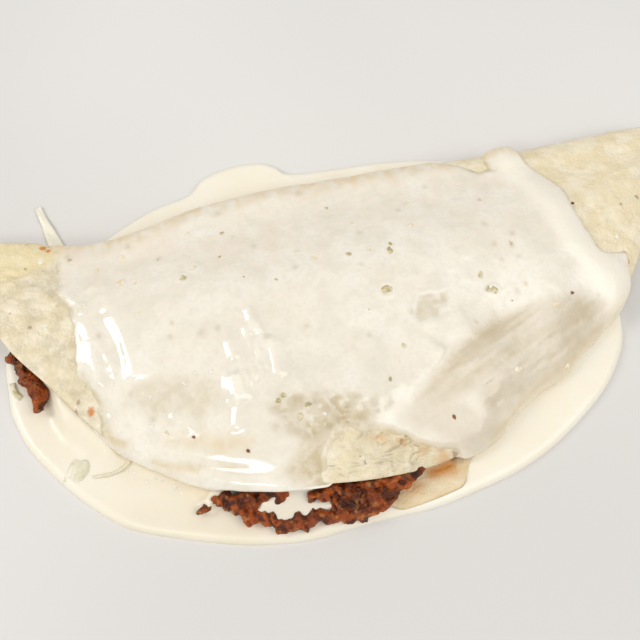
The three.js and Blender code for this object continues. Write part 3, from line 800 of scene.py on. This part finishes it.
def makePool():
    edge = roundCurve(poolEdge, poolLook["around"])
    centre = np.array(poolLook["centre"])
    inward = 1 - (1 - np.linspace(0, 1, poolLook["rings"])) ** 1.7
    share = inward[1:][:, None, None]
    plan = centre + (edge - centre)[None] * share
    x, y = plan[..., 0], plan[..., 1]
    toEdge = np.linalg.norm(edge - centre, axis=1)[None] * (1 - share[..., 0])
    brim = 1 - np.clip(toEdge / pool["brim"], 0, 1)
    ripple = poolLook["ripple"] * (grain(x, y, 16, 51) + 0.5 * grain(x, y, 7, 52)) - 0.12
    covered = np.minimum(y - lowerRimY(x), foldY(x) - 2 - y)
    covered = np.minimum(covered, (146 - np.abs(x)) * 0.5)
    flap = smooth(-12, -6, x) * smooth(30, 26.5, x + 0.5 * (y + 70) + 1.2 * grain(x, y, 4, 58))
    up = (pool["level"] + ripple) * np.sqrt(np.clip(1 - brim**2.4, 0, 1))
    underSheet = smooth(mix(1.5, -0.4, flap), mix(4.5, 0.6, flap), covered) * smooth(3.2, 2.2, lowerZ(x))
    z = mix(up, pool["film"] + 0 * x, underSheet)
    puddleTop = pool["level"] + poolLook["puddle"] + 2 * smooth(-72, -67, y) + ripple
    z = mix(z, puddleTop, within(x, y, puddle, -1.8, 1.4))
    z = mix(z, poolLook["coatedHeight"] + ripple, within(x, y, coatedEnd, -1.6, 1.6))
    rimX = np.arange(-130.0, -90, 2)
    toRim = pathDistance(x, y, list(zip(rimX, rimY(rimX)))) + 0.5 * grain(x, y, 5, 57)
    atLeft = smooth(-125, -117, x) * smooth(-95, -103, x)
    bank = (lowerZ(x) + poolLook["bank"] - z) * atLeft * np.exp(-((np.maximum(toRim, 0) / 6.4) ** 2.2))
    z = z + np.maximum(bank, 0)
    warm = 0.35 * smooth(-45, -78, y) * smooth(30, -30, x) * smooth(-0.9, 0.6, grain(x, y, 14, 56))
    warm = warm + 0.3 * nearLine(x, y, poolWarmth, 5) + 0.2 * smooth(-20, -90, x)
    rings, around = x.shape
    points = np.concatenate([
        np.stack([x, y, z], -1).reshape(-1, 3),
        np.concatenate([edge, np.zeros((around, 1))], 1),
        [[centre[0], centre[1], pool["film"]], [centre[0], centre[1], 0]],
    ])
    number = np.arange(rings * around).reshape(rings, around)
    after = np.roll(number, -1, 1)
    base = rings * around + np.arange(around)
    baseAfter = np.roll(base, -1)
    hub = rings * around + around
    faces = [tuple(f) for f in np.stack([number[:-1], number[1:], after[1:], after[:-1]], -1).reshape(-1, 4)]
    faces += [tuple(f) for f in np.stack([number[-1], base, baseAfter, after[-1]], -1)]
    faces += [(hub, number[0, k], after[0, k]) for k in range(around)]
    faces += [(hub + 1, baseAfter[k], base[k]) for k in range(around)]
    warm = np.concatenate([warm.ravel(), np.zeros(around + 2)])
    obj = newObject("queso_pool_smooth", points, faces, {"warm": np.clip(warm, 0, 1)})
    return finishPiece(obj, ["queso_pool"], quesoSauce("deep queso", False))


# Bits of pepper, specks and drops on the sauce: small, soft and damp, with a dull shine.
paleBits = [  # x, y and radius of each
    (-87.7, 22.7, 2.4), (-58.7, 21.6, 1.7), (-103.8, 14.4, 1.5), (77.4, -17.3, 1.5), (56.8, -39, 1.9),
    (78.2, -38.4, 1.7), (42, -24.5, 1.3), (66.5, -8.5, 1.3), (-86.9, 35.9, 1.9), (-97, 33, 1.6),
    (28.4, 22.8, 1.5), (-17.6, 19.4, 1.3), (-41.5, 33.4, 1.3), (-59.4, 40.6, 1.2), (-12.1, 14.9, 1.3),
    (9.4, 14, 1.2), (-81.9, 20.7, 1.1), (-82, 6, 1.1), (30, 36, 1.4), (6, 30, 1.2),
]
oliveBits = [
    (12.2, -3.9, 2.2), (-62.9, 17.1, 1.9), (54.4, -8.7, 1.9), (52.4, -8.2, 1.5), (50, -2.5, 1.7),
    (17.3, 12.2, 1.6), (18.3, 15, 1.3), (1, 13.5, 1.5), (65.4, 8.7, 1.0), (-107.6, 39.9, 1.1),
    (-72.1, 30.1, 0.9), (-47.8, 24.3, 0.9), (-45.5, 37.4, 0.9), (-33.5, -36.5, 1.5), (-35.5, -38, 1.2),
    (-28.8, -45.5, 1.3), (-77.5, -39.5, 0.9), (-25, -42, 1.3), (14, -26, 0.9), (6, -38, 0.9), (60, 32, 1.1),
    (45, 18, 0.8), (-28, 8, 0.8), (-2, 41, 1.0),
]
whiteDrops = [  # of sauce, some of them on the bare tortilla
    (-119.5, 42.5, 1.6), (112.8, 8.6, 1.3), (110.8, 8.2, 1.0), (105, 16, 0.7), (106.3, 6.5, 0.7),
    (-71, 0, 1.1), (-68.5, -24, 1.2), (-81.5, -26, 1.0), (-98.5, -28, 1.4), (-95.5, -34, 1.2),
    (-83, -36, 1.2), (-58, -22.5, 1.1), (-52.2, -21.3, 1.0), (-48, -24.5, 1.0), (-63.5, -21.5, 1.0),
    (-82.2, -30.5, 1.0), (57, -14.8, 1.2), (-20, -46, 1.0),
]
brownSpecks = [
    (85.5, -13.3, 0.8), (27.1, -53.3, 0.9), (-68, -43.5, 0.75), (-49.3, -52.9, 1.1), (-92, 0.5, 0.5),
    (60.5, -14, 0.45), (4, -10, 0.4), (-40, 12, 0.4), (98, 25.3, 0.7), (-24, -43, 0.5),
]
bitLook = {
    "pale": ("#e6d3ab", "#f3e9d2"),
    "olive": ("#b3a271", "#dcd0ae"),
    "brown": ("#5f3320", "#94603a"),
    "roughness": 0.35,
    "sunk": 0.16,
    "dropSunk": 0.25,
    "bubbles": 26,
}


def coatPlace(x, y, lift=0.0):  # the point of the sauce's surface above a place, and its outward direction
    start = coat["startRun"]
    runs = np.linspace(start + 0.01, 2, 400)
    ys = outside(np.full(400, float(x)), runs)[0]
    run = np.interp(-y, -ys, runs)
    at, across = np.array([x, x + 0.5]), np.full(2, run)
    s = np.array([(run - start) / (2 - start)])
    covered = coatLeft(s)[0] < x < coatRight(s)[0]
    beneath = np.full(2, float(y))
    fade = coatFade(at, beneath, np.full(2, s[0]))
    away = lift + (mix(-coat["sunk"], clearance + coatThickness(at, beneath), fade) if covered else 0 * at)
    here, beside = skin(at, across, away)
    below = skin(np.array([x]), np.array([run - 0.004]), away[:1])[0]
    up = np.cross(beside - here, below - here)
    return here, up / np.linalg.norm(up)


def bitMaterial(name, darker, paler):
    material, tree, shader, read = newMaterial(name)
    colour = layerColours(tree, darker, [(noiseShade(tree, read["where"], 1.5, 2), paler)])
    tree.links.new(colour, shader.inputs["Base Color"])
    shader.inputs["Roughness"].default_value = bitLook["roughness"]
    return material


def newTree(name, **sizes):  # a Geometry Nodes tree with named inputs, and its input sockets
    tree = bpy.data.node_groups.new(name, "GeometryNodeTree")
    kinds = {"Geometry": "Geometry", **sizes}
    for key, kind in kinds.items():
        tree.interface.new_socket(key, in_out="INPUT", socket_type="NodeSocket" + kind)
    tree.interface.new_socket("Geometry", in_out="OUTPUT", socket_type="NodeSocketGeometry")
    return tree, addNode(tree, "NodeGroupInput").outputs


def scaledLumps(tree, points, lump, turn, stretch, size):  # a lump on every point, realized
    inputs = {0: stretch, "Scale": size}
    scale = addNode(tree, "ShaderNodeVectorMath", inputs, operation="SCALE").outputs[0]
    inputs = {"Points": points, "Instance": lump, "Rotation": turn, "Scale": scale}
    lumps = addNode(tree, "GeometryNodeInstanceOnPoints", inputs).outputs[0]
    return addNode(tree, "GeometryNodeRealizeInstances", {0: lumps}).outputs[0]


def bitTree(name, material):  # small lumps on points that carry their size and direction
    tree, given = newTree(name, Height="Float", Ragged="Float", Seed="Int")
    size = addNode(tree, "GeometryNodeInputNamedAttribute", {"Name": "size"}, data_type="FLOAT").outputs[0]
    up = addNode(tree, "GeometryNodeInputNamedAttribute", {"Name": "up"}, data_type="FLOAT_VECTOR").outputs[0]
    turn = addNode(tree, "FunctionNodeAlignRotationToVector", {"Vector": up}, axis="Z").outputs[0]
    lump = addNode(tree, "GeometryNodeMeshIcoSphere", {"Radius": mm, "Subdivisions": 3}).outputs[0]
    flat = addNode(tree, "ShaderNodeCombineXYZ", {0: 1.0, 1: 1.0, 2: given["Height"]}).outputs[0]
    inputs = {0: (0.7, 0.7, 0.9), 1: (1.15, 1.15, 1.1), 8: given["Seed"]}
    uneven = addNode(tree, "FunctionNodeRandomValue", inputs, data_type="FLOAT_VECTOR").outputs[0]
    inputs = {0: flat, 1: uneven}
    stretch = addNode(tree, "ShaderNodeVectorMath", inputs, operation="MULTIPLY").outputs[0]
    points = addNode(tree, "GeometryNodeMeshToPoints", {"Mesh": given["Geometry"]}).outputs[0]
    solid = scaledLumps(tree, points, lump, turn, stretch, size)
    place = addNode(tree, "GeometryNodeInputPosition").outputs[0]
    push = randomPush(tree, place, 0.7 / mm, 1, given["Ragged"])
    solid = addNode(tree, "GeometryNodeSetPosition", {"Geometry": solid, "Offset": push}).outputs[0]
    solid = addNode(tree, "GeometryNodeSetShadeSmooth", {0: solid}).outputs[0]
    painted = addNode(tree, "GeometryNodeSetMaterial", {"Geometry": solid, "Material": material}).outputs[0]
    addNode(tree, "NodeGroupOutput", {0: painted})
    return tree


def scatterBits(name, places, material, height, ragged, seed):  # places are (point, up, size)
    mesh = bpy.data.meshes.new(name)
    mesh.from_pydata([tuple(point * mm) for point, up, size in places], [], [])
    sizes = mesh.attributes.new("size", "FLOAT", "POINT")
    sizes.data.foreach_set("value", [size for point, up, size in places])
    ups = mesh.attributes.new("up", "FLOAT_VECTOR", "POINT")
    ups.data.foreach_set("vector", [v for point, up, size in places for v in up])
    holder = bpy.data.objects.new(name, mesh)
    scene.collection.objects.link(holder)
    tree = bitTree(name + " build", material)
    result = bakeTree(holder, tree, Height=height, Ragged=ragged * mm, Seed=seed)
    bpy.data.objects.remove(holder)
    obj = bpy.data.objects.new(name, result)
    scene.collection.objects.link(obj)
    return finishPiece(obj, [], material)


def makeBits():
    kinds = (("pale_pepper_bits", paleBits, "pale", 11), ("olive_pepper_bits", oliveBits, "olive", 12),
             ("brown_specks", brownSpecks, "brown", 13))
    for name, spots, key, seed in kinds:
        material = bitMaterial(name.replace("_", " "), *bitLook[key])
        places = [(*coatPlace(x, y, -bitLook["sunk"] * size), size) for x, y, size in spots]
        scatterBits(name, places, material, 0.3, 1.1, seed)
    wetSauce = bpy.data.materials["deep queso"]
    drops = [(*coatPlace(x, y, -bitLook["dropSunk"]), size) for x, y, size in whiteDrops]
    scatterBits("white_drops", drops, wetSauce, 0.3, 1.2, 14)
    random = np.random.default_rng(31)
    foam = []
    for _ in range(bitLook["bubbles"]):  # in the pool along the front of the fold, left of the beef
        x = random.uniform(-97, -70)
        y = rimY(x) - 4.6 - abs(random.normal(0, 1.8))
        foam.append((np.array([x, y, pool["level"] - 0.35]), np.array([0, 0, 1.0]), random.uniform(0.5, 1.0)))
    scatterBits("sauce_bubbles", foam, wetSauce, 0.4, 0.3, 15)


# Chopped beef: seared dark brown strips and crumbs, a lighter brown and greasy on their cut sides.
beefStrips = [  # x, y, z of each strip's line, and the size of its crumbs
    ([(-64, -56, 8), (-50, -60, 8), (-36, -62.5, 8), (-20, -64.5, 8), (-6, -65.5, 8), (6, -64, 8)], 4.2),
    ([(-54.5, -71, 6.4), (-54, -73.4, 6), (-50, -74, 6), (-46.5, -75.4, 6), (-43.5, -77.4, 5.8),
     (-40.5, -79, 5.6), (-35.5, -78.8, 5.8), (-31, -78.2, 6), (-26, -78.6, 6), (-21, -78.6, 5.8),
     (-16, -79.8, 5.4), (-10, -79.4, 5.4), (-4, -77.2, 5.8), (1.5, -75, 6.2)], 3.7),
    ([(-20, -76, 6.8), (-13, -75.6, 7), (-7, -74.8, 7), (-1, -73, 7.2), (5, -71.2, 7.4), (9.5, -69.8, 7.6)],
     4.0),
    ([(-29.6, -71.4, 8.8), (-26, -71.2, 9.2), (-20, -71.4, 9.4), (-14, -72, 9.4), (-9, -71.8, 9.4),
     (-2, -70.8, 9.4), (5, -69.6, 9.2), (11.5, -68.4, 8.8)], 2.9),
    ([(-24, -68.6, 8), (-14, -68.4, 8.4), (-4, -68, 8.4), (5, -67, 8.2)], 3.6),
    ([(-63.5, -64.8, 6.8), (-60, -65.6, 7.2), (-56.5, -66.2, 7.2)], 3.2),
    ([(-60, -67.4, 6.2), (-57, -69.2, 6.4), (-55, -71.2, 6.4)], 3.0),
    ([(-55, -67.2, 7.4), (-51.4, -66, 8.2), (-47, -66.2, 8.6), (-42.4, -66.8, 8.6), (-39.5, -67.2, 8.4)],
     3.4),
    ([(-53, -69.7, 6.6), (-50.5, -69, 7.2), (-48, -68.4, 7.6)], 3.0),
    ([(-42, -69.2, 8), (-39, -68.6, 8.4), (-36.4, -67.8, 8.4)], 1.8),
    ([(-66, -63.8, 5.6), (-67.4, -65.6, 5.4), (-68.6, -67.2, 5)], 2.7),
    ([(-135, 7, 6.4), (-133, 2.5, 6.6), (-130, -3, 6.8), (-127, -10, 6.6), (-125.2, -14, 6.2)], 3.8),
    ([(-130, 0, 6.6), (-127, -6, 6.8), (-124.5, -10, 6.4)], 4.0),
]
beefLook = {
    # also used for the painted shade in the crevices
    "searedAndCreviceShade": "#34150a",
    "dark": "#753410",
    "brown": "#a44c16",
    "pale": "#d28b48",
    "roughness": 0.26,
    "specular": 0.28,
    "fibres": 0.9,
    "crag": 0.85,
    "lowest": 2.2,
    "spacing": 1.5,
    "voxel": 0.4,
    "seed": 7,
}


def choppedBeef():
    look = beefLook
    material, tree, shader, read = newMaterial("chopped beef", "creviceShade")
    where = read["where"]
    colour = layerColours(tree, look["brown"], [
        (noiseShade(tree, where, 9, 4, 0.4, 0.62), look["dark"]),
        ((noiseShade(tree, where, 5, 3, 0.5, 0.64), 0.7), look["searedAndCreviceShade"]),
        ((noiseShade(tree, where, 2.6, 4, 0.52, 0.72), 0.5), look["pale"]),
        # painted shade: the crevices take the seared colour
        (read["creviceShade"], look["searedAndCreviceShade"]),
    ])
    tree.links.new(colour, shader.inputs["Base Color"])
    shader.inputs["Roughness"].default_value = look["roughness"]
    shader.inputs["Specular IOR Level"].default_value = look["specular"]
    inputs = {"Vector": where, "Scale": 1 / (1.1 * mm), "Detail": 3}
    fibres = addNode(tree, "ShaderNodeTexNoise", inputs).outputs[0]
    addBump(tree, shader, [(fibres, look["fibres"])])
    return material


def stripCurves(name, strips):  # one curve with a spline for each strip; its radius is the crumbs' size
    curve = bpy.data.curves.new(name, "CURVE")
    curve.dimensions = "3D"
    for path, size in strips:
        spline = curve.splines.new("POLY")
        spline.points.add(len(path) - 1)
        for point, place in zip(spline.points, path):
            point.co = tuple(v * mm for v in place) + (1,)
            point.radius = size
    obj = bpy.data.objects.new(name, curve)
    scene.collection.objects.link(obj)
    return obj


def crumbTree(material):
    tree, given = newTree("crumbs along strips", Spacing="Float", Seed="Int")
    radius = addNode(tree, "GeometryNodeInputRadius").outputs[0]
    inputs = {"Curve": given["Geometry"], "Length": given["Spacing"]}
    line = addNode(tree, "GeometryNodeResampleCurve", inputs, mode="LENGTH").outputs[0]

    def draw(low, high, seedStep):
        seed = addNode(tree, "ShaderNodeMath", {0: given["Seed"], 1: seedStep}, operation="ADD").outputs[0]
        inputs = {0: low, 1: high, 8: seed}
        return addNode(tree, "FunctionNodeRandomValue", inputs, data_type="FLOAT_VECTOR").outputs[0]

    shift = draw((-1.1 * mm, -1.1 * mm, -0.8 * mm), (1.1 * mm, 1.1 * mm, 0.8 * mm), 1)
    line = addNode(tree, "GeometryNodeSetPosition", {"Geometry": line, "Offset": shift}).outputs[0]
    lump = addNode(tree, "GeometryNodeMeshIcoSphere", {"Radius": mm, "Subdivisions": 4}).outputs[0]
    stretch = draw((0.8, 0.5, 0.48), (1.3, 0.75, 0.7), 2)
    tangent = addNode(tree, "GeometryNodeInputTangent").outputs[0]
    along = addNode(tree, "FunctionNodeAlignRotationToVector", {"Vector": tangent}, axis="X").outputs[0]
    tilt = draw((-0.8, -0.8, -0.8), (0.8, 0.8, 0.8), 3)
    turn = addNode(tree, "FunctionNodeRotateRotation", {0: along, 1: tilt}).outputs[0]
    solid = scaledLumps(tree, line, lump, turn, stretch, radius)
    painted = addNode(tree, "GeometryNodeSetMaterial", {"Geometry": solid, "Material": material}).outputs[0]
    addNode(tree, "NodeGroupOutput", {0: painted})
    return tree


def bakeTree(obj, tree, **values):  # the modifier's result as a plain mesh object
    modifier = obj.modifiers.new("build", "NODES")
    modifier.node_group = tree
    for item in tree.interface.items_tree:
        if item.in_out == "INPUT" and item.name in values:
            modifier[item.identifier] = values[item.name]
    depsgraph = bpy.context.evaluated_depsgraph_get()
    mesh = bpy.data.meshes.new_from_object(obj.evaluated_get(depsgraph))
    obj.modifiers.remove(modifier)
    return mesh


def meshPoints(mesh):
    co = np.empty(len(mesh.vertices) * 3, np.float32)
    mesh.vertices.foreach_get("co", co)
    return co.reshape(-1, 3) / mm


def fusedCrumbs(material):  # the crumbs along the strips, grown together and cragged
    strips = stripCurves("beef strips", beefStrips)
    tree = crumbTree(material)
    mesh = bakeTree(strips, tree, Spacing=beefLook["spacing"] * mm, Seed=beefLook["seed"])
    bpy.data.objects.remove(strips)
    crumbs = bpy.data.objects.new("beef crumbs", mesh)
    scene.collection.objects.link(crumbs)
    remesh = crumbs.modifiers.new("fuse", "REMESH")
    remesh.mode = "VOXEL"
    remesh.voxel_size = beefLook["voxel"] * mm
    mesh = bpy.data.meshes.new_from_object(crumbs.evaluated_get(bpy.context.evaluated_depsgraph_get()))
    bpy.data.objects.remove(crumbs)
    points = meshPoints(mesh)
    normals = np.empty(len(mesh.vertices) * 3, np.float32)
    mesh.vertices.foreach_get("normal", normals)
    x, y, z = points.T
    folds = np.abs(grain(1.4 * x + 0.7 * z, 0.8 * y + 0.4 * z, 3.4, 61))
    folds = folds + 0.4 * np.abs(grain(x - 0.6 * z, y + z, 1.5, 62))
    crag = beefLook["crag"] * (0.38 - folds)
    points = points + normals.reshape(-1, 3) * crag[:, None]
    points[:, 2] = np.maximum(points[:, 2], beefLook["lowest"])
    mesh.vertices.foreach_set("co", (points * mm).ravel())
    # painted shade: the deeper a point lies in a crevice, the darker its colour
    creviceShade = mesh.attributes.new("creviceShade", "FLOAT", "POINT")
    creviceShade.data.foreach_set("value", 0.85 * smooth(-0.05, -0.5, crag).astype(np.float32))
    crumbs = bpy.data.objects.new("beef_crumbs", mesh)
    scene.collection.objects.link(crumbs)
    mesh.shade_smooth()
    return crumbs


def beefInside(material):  # the body of the filling inside the fold
    rows, columns = 60, 120
    x = np.linspace(-131, 125, columns)[None, :] + np.zeros((rows, 1))
    front = 0.93 - 0.16 * smooth(7, 14, x) * smooth(46, 38, x)
    run = mix(0.05, front, np.linspace(0, 1, rows)[:, None])
    away = -tortilla["sheet"] - clearance - 0.3 * np.abs(grain(x, run * tortilla["runLength"], 3, 63))
    inside = closedSlab("beef_inside", skin(x, 1 + run, away), skin(x, 1 - run, away))
    inside.data.materials.append(material)
    return inside


def makeBeef():
    material = choppedBeef()
    crumbs, inside = fusedCrumbs(material), beefInside(material)
    merge = bpy.context.copy()
    merge["active_object"] = crumbs
    merge["selected_editable_objects"] = [crumbs, inside]
    with bpy.context.temp_override(**merge):
        bpy.ops.object.join()
    return finishPiece(crumbs, ["beef_filling"], material)


# Iceberg lettuce: pale wet shreds, greener at one edge, half sunk in the sauce.
shreds = [  # x, y, z of the line, widths at both ends, thickness, how green, how far its edges dip
    ([(-115, 55, 0.9), (-119, 67, 0.9), (-123, 80, 0.9)], (6, 2.5), 0.9, 0.0, 0.0),
    ([(-118, -41.3, 3.6), (-113.5, -42.9, 3.8), (-109, -44.6, 3.6)], (10, 11), 1.2, 0.42, 0.9),
    ([(-108.5, -46.8, 4.2), (-103, -47.2, 4.3), (-97.5, -46, 4.4), (-93.5, -41.5, 4.4)],
     (1.3, 1.5), 0.8, 0.3, 0.6),
    ([(-109, -28.4, 6.3), (-105, -30.4, 5.8), (-100.8, -33.8, 5.3)], (1.2, 1.6), 0.8, 1.0, 0.2),
    ([(-136.5, -3, 4.3), (-135.5, -7, 4.3), (-133.5, -10, 4.3)], (2.4, 2.4), 0.9, 0.8, 0.4),
]
lettuceLook = {"pale": "#f2ead6", "green": "#aea65f", "roughness": 0.32}


def wetLettuce():
    look = lettuceLook
    material, tree, shader, read = newMaterial("iceberg lettuce", "green")
    share = noiseShade(tree, read["where"], 5, 2, 0.2, 0.7), read["green"]
    colour = layerColours(tree, look["pale"], [(share, look["green"])])
    tree.links.new(colour, shader.inputs["Base Color"])
    shader.inputs["Roughness"].default_value = look["roughness"]
    softenLight(shader, 0.3, (1.0, 0.9, 0.7), 1.5)
    inputs = {"Vector": read["where"], "Scale": 1 / (1.5 * mm), "Detail": 2}
    veins = addNode(tree, "ShaderNodeTexNoise", inputs).outputs[0]
    addBump(tree, shader, [(veins, 0.3)])
    return material


def makeShred(number, path, widths, thick, green, dip, material):
    broad = widths[0] > 7  # a leaf, round in plan, rather than a strip
    knots = np.linspace(0, 1, len(path))
    c = np.linspace(0, 1, 60)[None, :] + np.zeros((22, 1))
    s = np.linspace(-1, 1, 22)[:, None] + 0 * c
    weights = np.polyfit(knots, np.array(path, float), min(3, len(path) - 1))
    at = sum(w * c[..., None] ** (len(weights) - 1 - k) for k, w in enumerate(weights))
    ahead = np.gradient(at, axis=1)
    across = np.stack([ahead[..., 1], -ahead[..., 0]], -1)
    across = across / np.linalg.norm(across, axis=-1, keepdims=True)
    half = mix(widths[0], widths[1], c) / 2 * (1 + 0.08 * grain(c * 30, s, 4, 70 + number))
    plan = at[..., :2] + across * (s * half)[..., None]
    x, y = plan[..., 0], plan[..., 1]
    edge = np.hypot(s, 2 * c - 1) if broad else np.maximum(np.abs(s), np.abs(2 * c - 1))
    edge = edge + 0.25 * grain(x, y, 2.5, 81)
    wave = 0.25 * np.sin(c * 11 + s * 2) * min(1, widths[0] / 4) + 0.12 * grain(x, y, 1.6, 80)
    z = at[..., 2] + (wave - dip * smooth(0.45, 1.05, edge))
    rounded = thick / 2 * np.sqrt(1 - 0.9 * s**4) * np.sqrt(1 - 0.9 * np.abs(2 * c - 1) ** 12)
    top, bottom = (np.stack([x, y, z + side * rounded], -1)[:, ::-1] for side in (1, -1))
    obj = closedSlab(f"lettuce_shred_{number}", bottom, top, {"green": green + 0 * s})
    return finishPiece(obj, [f"lettuce_{number}"], material)


# The camera looks down on the front of the quesadilla, from a little to the left.
view = {"azimuth": -11, "elevation": 64, "distance": 355, "target": (-13, -1.75, 10), "lens": 50}


def makeCamera():
    a, e = math.radians(view["azimuth"]), math.radians(view["elevation"])
    back = Vector((math.sin(a) * math.cos(e), -math.cos(a) * math.cos(e), math.sin(e)))
    target = Vector(view["target"])
    camera = bpy.data.objects.new("camera", bpy.data.cameras.new("camera"))
    camera.data.lens = view["lens"]
    camera.data.sensor_width = 36
    camera.data.clip_start = 0.01
    camera.location = (target + back * view["distance"]) * mm
    camera.rotation_euler = back.to_track_quat("Z", "Y").to_euler()
    scene.collection.objects.link(camera)
    scene.camera = camera


# Matt paper: an even off-white that takes soft shadows and has no shine.
studio = {
    "floor": "#e3e0db",
    "floorShade": "#d8d5d0",
    "floorHalf": 3.0,
    "window": {"towards": (-0.77, 0.16, 0.62), "distance": 3.4, "size": (1.0, 1.6), "power": 38.0},
    "frontLeft": {"towards": (-0.46, -0.53, 0.71), "distance": 2.2, "size": (0.75, 0.4), "power": 7.0},
    "overhead": {"towards": (0.5, -0.4, 0.8), "distance": 3.0, "size": (2.2, 2.2), "power": 35.0},
    "sky": 0.52,
}


def makeLight(name, towards, distance, size, power):
    direction = Vector(towards).normalized()
    data = bpy.data.lights.new(name, "AREA")
    data.shape = "RECTANGLE"
    data.size, data.size_y = size
    data.energy = power
    light = bpy.data.objects.new(name, data)
    light.location = direction * distance
    light.rotation_euler = direction.to_track_quat("Z", "Y").to_euler()
    scene.collection.objects.link(light)


def makeStudio():
    material, tree, shader, read = newMaterial("matt paper floor")
    mottled = noiseShade(tree, read["where"], 400)
    floorTint = layerColours(tree, studio["floor"], [(mottled, studio["floorShade"])])
    tree.links.new(floorTint, shader.inputs["Base Color"])
    shader.inputs["Roughness"].default_value = 0.8
    half = studio["floorHalf"]
    corners = [(-half, -half, 0), (half, -half, 0), (half, half, 0), (-half, half, 0)]
    floor = newObject("floor", np.array(corners) / mm, [(0, 1, 2, 3)])
    floor.data.materials.append(material)
    for name in ("window", "frontLeft", "overhead"):
        makeLight(name, **studio[name])
    world = bpy.data.worlds.new("studio")
    world.use_nodes = True
    sky = world.node_tree.nodes["Background"]
    sky.inputs["Color"].default_value = (1, 1, 1, 1)
    sky.inputs["Strength"].default_value = studio["sky"]
    scene.world = world
    scene.view_settings.view_transform = "Standard"


makeCamera()
makeStudio()
makeTortilla()
makeCoat()
makePool()
makeBeef()
makeBits()
lettuce = wetLettuce()
for number, shred in enumerate(shreds, 1):
    makeShred(number, *shred, lettuce)
